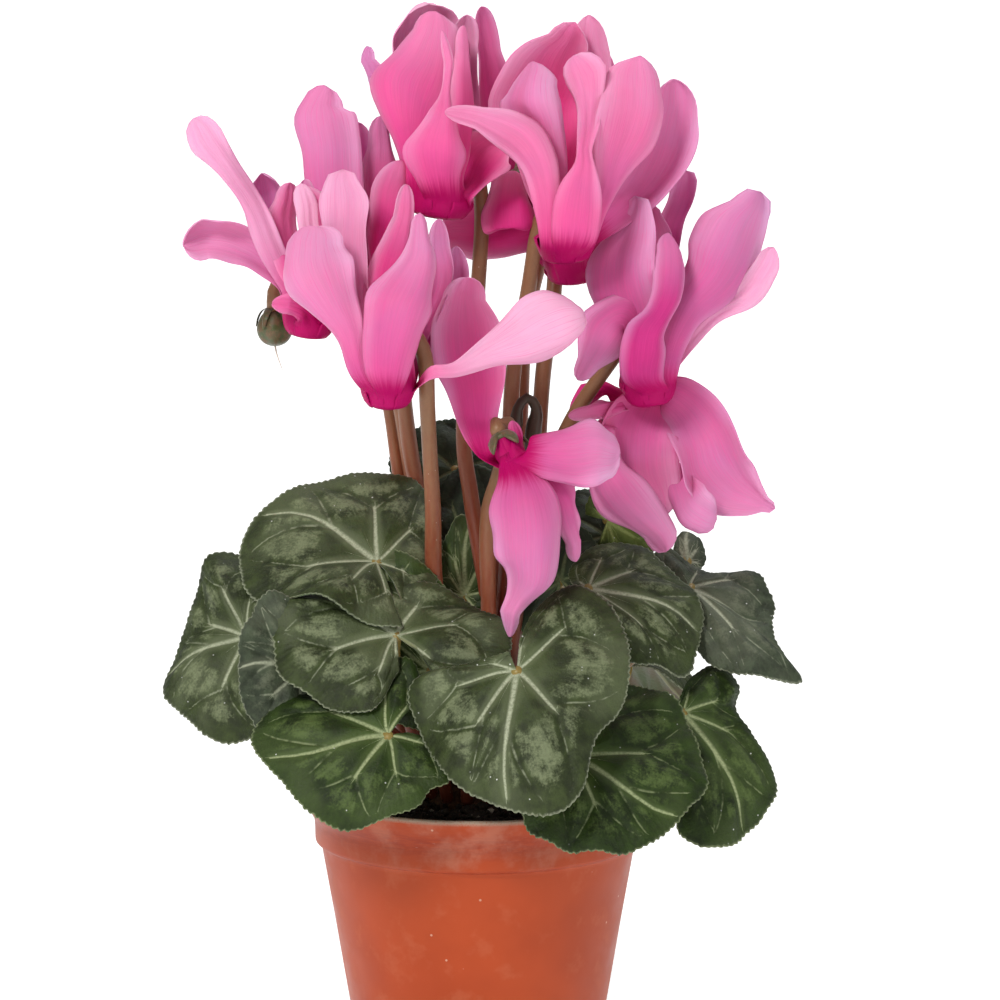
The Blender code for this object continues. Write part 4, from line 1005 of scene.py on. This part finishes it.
def make_leaves(materials):
    """Every blade with its stalk; the outer stalks start round the corm in the order of their leaves."""
    leaves = [(name, *leaf) for name, leaf in LEAVES.items()]
    for name, (hub, *shape) in BACK_LEAVES.items():
        leaves.append((name, hub, 0.5, "deep", back_leaf_rim(hub, *shape)))
    outer = sorted((math.atan2(hub[1], hub[0]), name) for name, hub, *_ in leaves if name not in INNER_STALKS)
    starts = dict(INNER_STALKS)
    for place, (_, name) in enumerate(outer):
        turn = 2 * math.pi * (place + 0.5) / len(outer) - math.pi
        starts[name] = (STALK_CIRCLE * math.cos(turn), STALK_CIRCLE * math.sin(turn))
    for name, place, midrib, tone, rim in leaves:
        hub = np.asarray(place, float)
        normal = make_blade(name, hub, midrib, tone, rim, materials)
        make_stalk(name, starts[name], hub, normal, materials["stalk"])


def across_mouth(axis, turn):
    """The direction across a flower's mouth at a turn in radians from its front towards its right."""
    front = FRONT - axis * (axis @ FRONT)
    if np.linalg.norm(front) < 0.5:
        front = -UP + axis * (axis @ UP)
    front = unit(front)
    right = np.cross(front, axis)
    return np.multiply.outer(np.cos(turn), front) + np.multiply.outer(np.sin(turn), right)


def around(centre, axis, profile, steps, lobes=0, depth=0.0):
    """Rings of a profile of (radius, height) turned about a flower's axis; the height runs against it."""
    turns = even_turns(steps)
    ring = across_mouth(axis, turns)
    wave = 1 + depth * np.cos(lobes * turns)[:, None]
    return [centre - axis * height + radius * wave * ring for radius, height in profile]


def lobe(spine, side, out, width, hollow):
    """A narrow sheet along a spine, hollowed towards its edges."""
    v = np.linspace(-1, 1, 5)
    return spine[:, None] + side * (width[:, None] * v)[..., None] - out * (hollow * v**2)[None, :, None]


def petal_turns(petals):
    """The petals' turns round the mouth in degrees, moved to even places in the same order."""
    turns = [petal[0] for petal in petals]
    order = sorted(range(len(turns)), key=turns.__getitem__)
    step = 360.0 / len(turns)
    drift = np.radians([turns[k] - step * place for place, k in enumerate(order)])
    start = math.degrees(math.atan2(np.sin(drift).mean(), np.cos(drift).mean()))
    return {k: start + step * place for place, k in enumerate(order)}


def petal_edges(places, outward):
    """The two edges and the middle of a petal at each place along its line.

    Its face is turned from the front towards its own side of the flower, and it is as much wider as that
    turn hides.
    """
    line = np.array([place[:3] for place in places], float)
    ahead = outward @ FRONT > -0.2
    facing = unit(FRONT + SIDE_TURN * outward) if ahead else unit(-FRONT + 0.4 * SIDE_TURN * outward)
    tangents = np.gradient(line, axis=0)
    left, middle, right = [], [], []
    last = np.zeros(3)
    for place, tangent, spot in zip(places[:-1], tangents, line):
        across = unit(np.cross(unit(tangent), facing))
        across = -across if across @ last < 0 else across
        last = across
        seen = math.sqrt(max(1 - (across @ FRONT) ** 2, 0.0))
        half = place[3] / max(seen, 0.62)
        left.append(spot - across * half)
        middle.append(spot + facing * PETAL_BULGE * half)
        right.append(spot + across * half)
    return left, middle, right


def petal_rails(lip_centre, axis, girth, petal, turn, half, order):
    """The two edges and the middle of a petal, from inside the mouth to its last place before the tip."""
    _, form, _, _, line = petal
    first = np.asarray(line[0][:3], float) - lip_centre
    slant = LIP_SLANT
    if form == "open":
        slant = 0.0
        front, right = across_mouth(axis, np.array((0.0, math.pi / 2)))
        turn = math.degrees(math.atan2(first @ right, first @ front))
    fold = [step for k, step in enumerate(FOLD[form]) if k < FOLD_KEPT or step[1] < -first @ axis - 2.0]

    def on_rim(angle):
        angle = math.radians(angle)
        out = across_mouth(axis, angle)
        drop = slant * math.cos(angle)
        return [lip_centre - axis * (height - drop) * girth + (girth * radius + 0.05 * order) * out
                for radius, height in fold]

    edges = petal_edges(line, across_mouth(axis, math.radians(turn)))
    starts = [on_rim(turn - half), on_rim(turn), on_rim(turn + half)]
    gaps = [[np.linalg.norm(start[-1] - edge[0]) for edge in edges] for start in starts]
    if gaps[2][0] + gaps[0][2] < gaps[0][0] + gaps[2][2]:
        starts.reverse()
    return [start + edge for start, edge in zip(starts, edges)]


def petal_relief(grid, width, seed):
    """How far a petal stands off its plain sheet: its curl, rolled side, swell, frill and pleats."""
    phase = np.random.default_rng(seed).uniform(0, 2 * math.pi)
    along = np.linspace(0, 1, PETAL_ROWS)[:, None]
    across = np.linspace(-1, 1, PETAL_COLUMNS + 1)[None]
    curl = np.sin(1.9 * across + phase + 2.4 * along) * 0.24 * width
    rolled = np.maximum(across * math.copysign(1.0, math.sin(phase)), 0.0) ** 3 * 0.45 * width
    swell = ripple(grid * 0.10, seed) * 0.5
    frill = ripple_along(along[:, 0] * 13, seed + 1)[:, None] * across**4
    pleat = np.cos(across * 9.0) * 0.14
    fine = (swell + frill + pleat) * np.minimum(width / 3.5, 1.0)
    return (curl + rolled + fine) * ease(along, 0.22, 0.55)


def petal_grid(rails, petal, order):
    """A petal's sheet, lofted along its rails to a rounded tip, and its distance from the lip."""
    _, form, _, _, line = petal
    tip = np.asarray(line[-1], float)
    places, length = even_places(rails[1] + [tip], PETAL_ROWS)
    last = len(rails[1]) - 1
    left, middle, right = [spline(points, np.minimum(places, last)) for points in rails]
    over = np.clip(places - last, 0, 1)[:, None] * math.pi / 2
    centre = middle + (tip - rails[1][-1]) * np.sin(over)
    shrink = np.maximum(np.cos(over), 0.04)
    low = centre + (left - middle) * shrink
    high = centre + (right - middle) * shrink
    v = np.linspace(-1, 1, PETAL_COLUMNS + 1)[None, :, None]
    half_span = ((high - low) / 2)[:, None]
    bow = ((low + high) / 2 - centre)[:, None]
    grid = centre[:, None] + half_span * v + bow * v**2
    normals = np.cross(np.gradient(grid, axis=0), np.gradient(grid, axis=1))
    normals /= np.maximum(np.linalg.norm(normals, axis=2, keepdims=True), 1e-6)
    seed = 40 + 7 * order + int(abs(tip[0] * 3 + tip[2]))
    relief = petal_relief(grid, np.linalg.norm(half_span, axis=2), seed)
    lengths = np.linspace(0, length, PETAL_ROWS)
    lip_mm = lengths - np.interp(LIP_KEY[form], places, lengths)
    return grid + relief[..., None] * normals, lip_mm[:, None]


def make_corolla(name, mouth, axis, material):
    """The tube of a flower and its petals."""
    girth = GIRTHS.get(name, USUAL_GIRTH)
    short = name in LAID_OPEN
    lip_centre = mouth if short else mouth + axis * NOSE_DROP
    heights = np.array([height for _, height in TUBE]) * (SHORT_TUBE if short else 1.0)
    profile = [(girth * radius, height) for (radius, _), height in zip(TUBE, heights)]
    lip_mm = np.where(np.arange(len(TUBE)) < TUBE_OUTSIDE, heights * 0.5, -heights)[:, None]
    corolla = Sheaf()
    rings = around(lip_centre, axis, profile, TUBE_STEPS, 5, 0.02)
    corolla.add(rings, wrap=True, lip_mm=lip_mm, lilac=0.2, deep=0.3)
    petals = PETALS[name]
    turns = petal_turns(petals)
    for order, petal in enumerate(petals):
        rails = petal_rails(lip_centre, axis, girth, petal, turns[order], PETAL_SPAN / len(petals), order)
        grid, lip_mm = petal_grid(rails, petal, order)
        corolla.add(grid, lip_mm=lip_mm, lilac=petal[2], deep=petal[3])
    piece = corolla.make(f"petals_{name}", [material], PETAL_THICKNESS)
    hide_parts(f"corolla_{name}")


def make_calyx(name, top, axis, material):
    """A green cup with five pointed sepals that clasp the tube."""
    calyx = Sheaf()
    cup = [(0.6, 11.4), (2.2, 11.0), (3.3, 10.0), (3.9, 9.2), (3.0, 8.9), (0.6, 9.0)]
    calyx.add(around(top, axis, cup, 20), wrap=True)
    share = np.linspace(0, 1, 9)
    width = 1.7 * np.sin(np.pi * (0.25 + 0.75 * share)) ** 0.8 + 0.08
    for k in range(SEPALS):
        out = across_mouth(axis, 2 * math.pi * (k + 0.5) / SEPALS)
        spine = [top - axis * h + out * r for r, h in ((2.6, 10.8), (4.2, 9.3), (5.7, 7.4), (6.6, 5.2))]
        calyx.add(lobe(even_path(spine, 9), np.cross(axis, out), out, width, 0.35))
    piece = calyx.make(f"calyx_{name}", [material], 0.5)


def make_flower(name, materials):
    """A corolla with its calyx, on a stem that rises from the corm and hooks over into the tube."""
    place, facing, route = FLOWERS[name]
    mouth = np.asarray(place, float)
    axis = unit(np.asarray(facing, float))
    top = mouth
    if name in LAID_OPEN:
        top = mouth + axis * 2.4
    else:
        axis = unit(axis - DROOP * UP)
    make_corolla(name, mouth, axis, materials["petal"])
    make_calyx(name, top, axis, materials["sepal"])
    path = [corm_foot(*route[0][:2])] + route + [top - axis * 14.0, top - axis * 10.6]
    shares = [1.08, *np.linspace(1.0, 0.82, len(path) - 2), 1.0]
    radii = [STEM_RADIUS * share for share in shares]
    piece = make_stem(f"stem_{name}", materials["stem"], path, radii, seed=len(name))
    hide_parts(f"flower_stem_{name}")


def make_capsule(materials):
    """The round seed capsule with its five withered sepals, its style and its stem."""
    centre = np.asarray(CAPSULE_CENTRE, float)
    outline = [(0.8, 5.4), (2.4, 4.9), (3.9, 3.6), (4.9, 1.4), (5.2, -0.6), (4.6, -2.8), (3.2, -4.5),
               (1.3, -5.4)]
    body = Sheaf()
    rings = around(centre, -UP, even_path(outline, 22), 40, 5, 0.05)
    body.add(rings, wrap=True, hub=centre + UP * 5.5, end=centre - UP * 5.5)
    width = 1.6 * np.linspace(1, 0.1, 8) ** 0.6
    for k in range(SEPALS):
        turn = 2 * math.pi * (k + 0.3) / SEPALS
        out = np.array((math.cos(turn), math.sin(turn), 0.0))
        spine = [centre + UP * h + out * r for r, h in ((1.6, 6.2), (4.2, 5.0), (5.6, 2.4), (5.9, 0.2))]
        body.add(lobe(even_path(spine, 8), np.cross(UP, out), out, width, 0.4))
    piece = body.make("capsule_body", [materials["sepal"]])
    piece.modifiers.new("Soft", "SUBSURF").render_levels = 1
    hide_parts("seed_capsule")
    thread = [centre - UP * 5.2, centre + np.array((0.6, -0.4, -8.0)), centre + np.array((2.2, -0.6, -12.5))]
    piece = make_stem("capsule_style", materials["style"], thread, [0.28, 0.2, 0.1], sides=6, rows=12)
    path = [corm_foot(*CAPSULE_STEM[0][:2])] + CAPSULE_STEM + [centre + UP * 5.0]
    radii = [0.75 * STEM_RADIUS] * 7 + [0.95 * STEM_RADIUS]
    piece = make_stem("capsule_stem", materials["stem"], path, radii)
    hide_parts("seed_capsule_stem")


def make_bud_stem(material):
    """The young stem that hooks over beside the middle flower."""
    path = [corm_foot(*BUD_STEM[0][:2])] + BUD_STEM
    piece = make_stem("bud_stem_hook", material, path, BUD_STEM_RADII)
    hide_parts("bud_stem")


def make_pot(material):
    """The pot's wall as one closed turned profile, up its inside, over the lip and down its outside."""
    profile = [
        (31.3, FLOOR_TOP), (31.9, 3.0), (38.0, 40.0), (44.6, 75.6), (45.0, 76.2), (46.4, 77.0), (46.6, 80.0),
        (46.8, 83.2), (47.4, 84.2), (49.4, 88.0), (51.0, 91.3), (51.25, 91.8), (51.65, 92.0), (52.2, 91.9),
        (52.5, 91.4), (52.3, 90.4), (51.2, 88.2), (49.6, 85.4), (48.6, 83.6), (48.2, 82.8), (48.05, 81.8),
        (47.9, 79.0), (47.85, 76.9), (47.75, 76.2), (47.2, 75.8), (46.4, 75.5), (46.0, 74.9), (45.9, 74.0),
        (42.2, 53.0), (38.0, 28.0), (34.4, 8.0), (33.5, 2.6), (33.2, 1.2), (32.6, 0.3), (POT_FOOT, 0.0),
    ]
    heights = np.array([height for _, height in profile])
    outside = np.arange(len(profile)) > 12
    sunny = 0.35 + 0.65 * ease(np.cos(even_turns(POT_STEPS) - 5.2), -0.2, 0.9)
    bloom = (ease(heights, 74, 77) * outside)[:, None] * sunny
    dust = np.maximum(ease(heights, 90.6, 91.7), 0.5 * ease(heights, 76.0, 84.0) * ~outside)
    # Painted shade: the band darkens under the overhanging lip, and a thin dark line marks the step below it.
    under_lip = ease(heights, 77.5, 84.0) * ease(heights, 90.0, 85.0)
    crease = ease(np.abs(heights - 75.7), 0.9, 0.2)
    shade = np.maximum(0.75 * under_lip, 0.7 * crease) * outside
    rings = turned(profile, POT_STEPS)
    piece = tube_piece("pot_moulding", material, rings, dust=dust[:, None], bloom=bloom, shade=shade[:, None])
    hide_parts("pot")


def make_pot_floor(material):
    """The pot's floor with its ring of drain holes."""
    outline = [(0.3, FLOOR_TOP), (31.3, FLOOR_TOP), (POT_FOOT, 0.0), (0.3, 0.0)]
    disc = tube_piece("pot_floor", material, turned(outline, POT_STEPS), dust=0.4, bloom=0.0, shade=0.0)
    holes = Sheaf()
    for k in range(DRAIN_HOLES):
        turn = 2 * math.pi * k / DRAIN_HOLES
        middle = DRAIN_CIRCLE * np.array((math.cos(turn), math.sin(turn), 0.0))
        rings = middle + turned([(DRAIN_RADIUS, 6.0), (DRAIN_RADIUS, -4.0)], 32)
        holes.add(rings, wrap=True, hub=middle + UP * 6, end=middle - UP * 4)
    cutter = holes.make("drain_cutter", [material])
    cut = disc.modifiers.new("Drain", "BOOLEAN")
    cut.operation = "DIFFERENCE"
    cut.object = cutter
    bpy.context.view_layer.update()
    depsgraph = bpy.context.evaluated_depsgraph_get()
    drained = bpy.data.meshes.new_from_object(disc.evaluated_get(depsgraph))
    disc.modifiers.clear()
    disc.data = drained
    bpy.data.objects.remove(cutter, do_unlink=True)


def soil_fall(reach):
    """How far the soil has sunk at a distance from the middle."""
    return SOIL_FALL * ease(reach, 34.0, 46.0)


def make_soil(material):
    """A body of peat mix with a rough surface that fills the pot."""
    radius = np.linspace(0.5, SOIL_RADIUS, 40)
    flat = turned([(reach, 0.0) for reach in radius], 150)
    lumps = ripple(flat * 0.35, 11) * 0.7 + ripple(flat * 0.9, 12) * 0.45 + ripple(flat * 2.0, 13) * 0.25
    top = flat + UP * (SOIL_TOP - soil_fall(radius)[:, None] + lumps)[..., None]
    wall = turned([(SOIL_RADIUS, 82.0), (45.6, 77.4), (44.0, 75.4), (31.0, 2.4), (0.5, 2.4)], 150)
    piece = tube_piece("soil_bed", material, np.concatenate((top, wall)), hub=(0, 0, 88), end=(0, 0, 2.4))
    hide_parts("soil")


def make_crumbs(materials):
    """Loose crumbs of peat and grains of perlite on the soil."""
    random = np.random.default_rng(21)
    for name, count, low, high, material in (("soil_crumbs", 900, 0.45, 1.5, "soil"),
                                             ("soil_grains", 46, 0.5, 1.3, "perlite")):
        loose = Sheaf()
        for _ in range(count):
            reach = 46.0 * math.sqrt(random.uniform(0.16, 0.98))
            turn = random.uniform(0, 2 * math.pi)
            size = random.uniform(low, high) ** 1.3
            height = CRUMB_LEVEL - float(soil_fall(reach)) + 0.5 * size + random.uniform(-0.2, 0.6)
            centre = np.array((reach * math.cos(turn), reach * math.sin(turn), height))
            crumb = ball(3, 6, random.uniform(0, 1))
            crumb *= size * random.uniform(0.7, 1.2, crumb.shape[:2])[..., None] * random.uniform(0.6, 1.2, 3)
            loose.add(centre + crumb, wrap=True, hub=centre - UP * 0.9 * size, end=centre + UP * 0.9 * size)
        piece = loose.make(name, [materials[material]])


def make_corm(material):
    """The flattened tuber, knobbly and half sunk in the soil."""
    skin = ball(28, 56)
    knobs = 1 + 0.035 * ripple(skin * 3.0, 31) + 0.02 * ripple(skin * 8.0, 32)
    radii = np.array((CORM_RADIUS, CORM_RADIUS, CORM_HALF))
    skin = skin * knobs[..., None] * radii + UP * (CORM_TOP - CORM_HALF)
    piece = tube_piece("corm_skin_piece", material, skin, hub=skin[0].mean(axis=0), end=skin[-1].mean(axis=0))
    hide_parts("corm")


def look_at(thing, target):
    away = np.asarray(thing.location) - np.asarray(target)
    flat = math.hypot(away[0], away[1])
    thing.rotation_euler = (math.atan2(flat, away[2]), 0.0, math.atan2(away[0], -away[1]))


def make_camera():
    """A long lens a little above the plant, turned down to it."""
    data = bpy.data.cameras.new("camera")
    data.lens = LENS
    data.sensor_width = 36.0
    data.clip_end = 100.0
    camera = placed("camera", data)
    camera.location = CAMERA_PLACE
    look_at(camera, CAMERA_TARGET)
    bpy.context.scene.camera = camera


def make_light(name, place, size, power, colour=(1.0, 1.0, 1.0)):
    """A round area light turned to the plant."""
    data = bpy.data.lights.new(name, "AREA")
    data.shape = "DISK"
    data.size = size
    data.energy = power
    data.color = colour
    lamp = placed(name, data)
    lamp.location = place
    look_at(lamp, LIGHT_TARGET)


def floor_material():
    """White, with a glow that grows with the distance, so that the floor runs out into the white world."""
    g = Graph("floor", Roughness=0.9, Specular_IOR_Level=0.1, Emission_Color=(1.0, 1.0, 1.0))
    where = g.place(1.0)
    apart = g.node("ShaderNodeVectorMath", output="Value", values={0: where}, operation="LENGTH")
    g.feed(g.shader.inputs["Emission Strength"], g.between(apart, 0.2, 2.2, 0.53, 1.0))
    return g.finish(g.mix(g.noise(where, 3.0), (0.86, 0.86, 0.86), (0.88, 0.88, 0.88)))


def make_studio():
    """A white world, three soft lights and the floor."""
    world = bpy.data.worlds.new("studio")
    world.use_nodes = True
    background = world.node_tree.nodes["Background"]
    background.inputs[0].default_value = (1.0, 1.0, 1.0, 1.0)
    background.inputs[1].default_value = WORLD_LIGHT
    bpy.context.scene.world = world
    make_light("key", (-0.75, -1.15, 1.35), 0.55, 19.0, (1.0, 0.98, 0.95))
    make_light("fill", (1.3, -1.2, 0.7), 1.2, 3.0)
    make_light("top", (0.3, 0.5, 1.5), 0.8, 7.0)
    data = bpy.data.meshes.new("floor")
    signs = ((-1, -1), (1, -1), (1, 1), (-1, 1))
    corners = [(x * FLOOR_HALF, y * FLOOR_HALF, -FLOOR_DROP) for x, y in signs]
    data.from_pydata(corners, [], [(0, 1, 2, 3)])
    data.materials.append(floor_material())
    floor = placed("floor", data)


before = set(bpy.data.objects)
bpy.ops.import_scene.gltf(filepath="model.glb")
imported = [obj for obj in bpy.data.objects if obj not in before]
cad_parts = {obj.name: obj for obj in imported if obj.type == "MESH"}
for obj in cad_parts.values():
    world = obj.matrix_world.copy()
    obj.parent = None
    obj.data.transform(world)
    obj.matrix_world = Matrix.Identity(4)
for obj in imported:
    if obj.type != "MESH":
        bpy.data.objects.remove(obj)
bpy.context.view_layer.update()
bpy.context.scene.view_settings.view_transform = "Standard"
make_camera()
make_studio()
kinds = {tone: leaf_material(tone) for tone in LEAF_TONES}
kinds.update(
    under=underside_material(),
    petal=petal_material(),
    stem=stem_material("flower_stem", (0.30, 0.055, 0.022), (0.26, 0.13, 0.06)),
    dark_stem=stem_material("bud_stem", (0.16, 0.04, 0.02), (0.05, 0.028, 0.015)),
    stalk=stem_material("leaf_stalk", (0.22, 0.05, 0.025), (0.28, 0.20, 0.05)),
    sepal=sepal_material(),
    style=style_material(),
    soil=soil_material("peat", (0.006, 0.0045, 0.0035), (0.035, 0.024, 0.017), 0.4),
    perlite=soil_material("perlite", (0.16, 0.14, 0.12), (0.42, 0.38, 0.33), 0.2),
    corm=corm_material(),
    pot=pot_material(),
)
make_pot(kinds["pot"])
make_pot_floor(kinds["pot"])
make_soil(kinds["soil"])
make_crumbs(kinds)
make_corm(kinds["corm"])
make_leaves(kinds)
for flower in FLOWERS:
    make_flower(flower, kinds)
make_capsule(kinds)
make_bud_stem(kinds["dark_stem"])
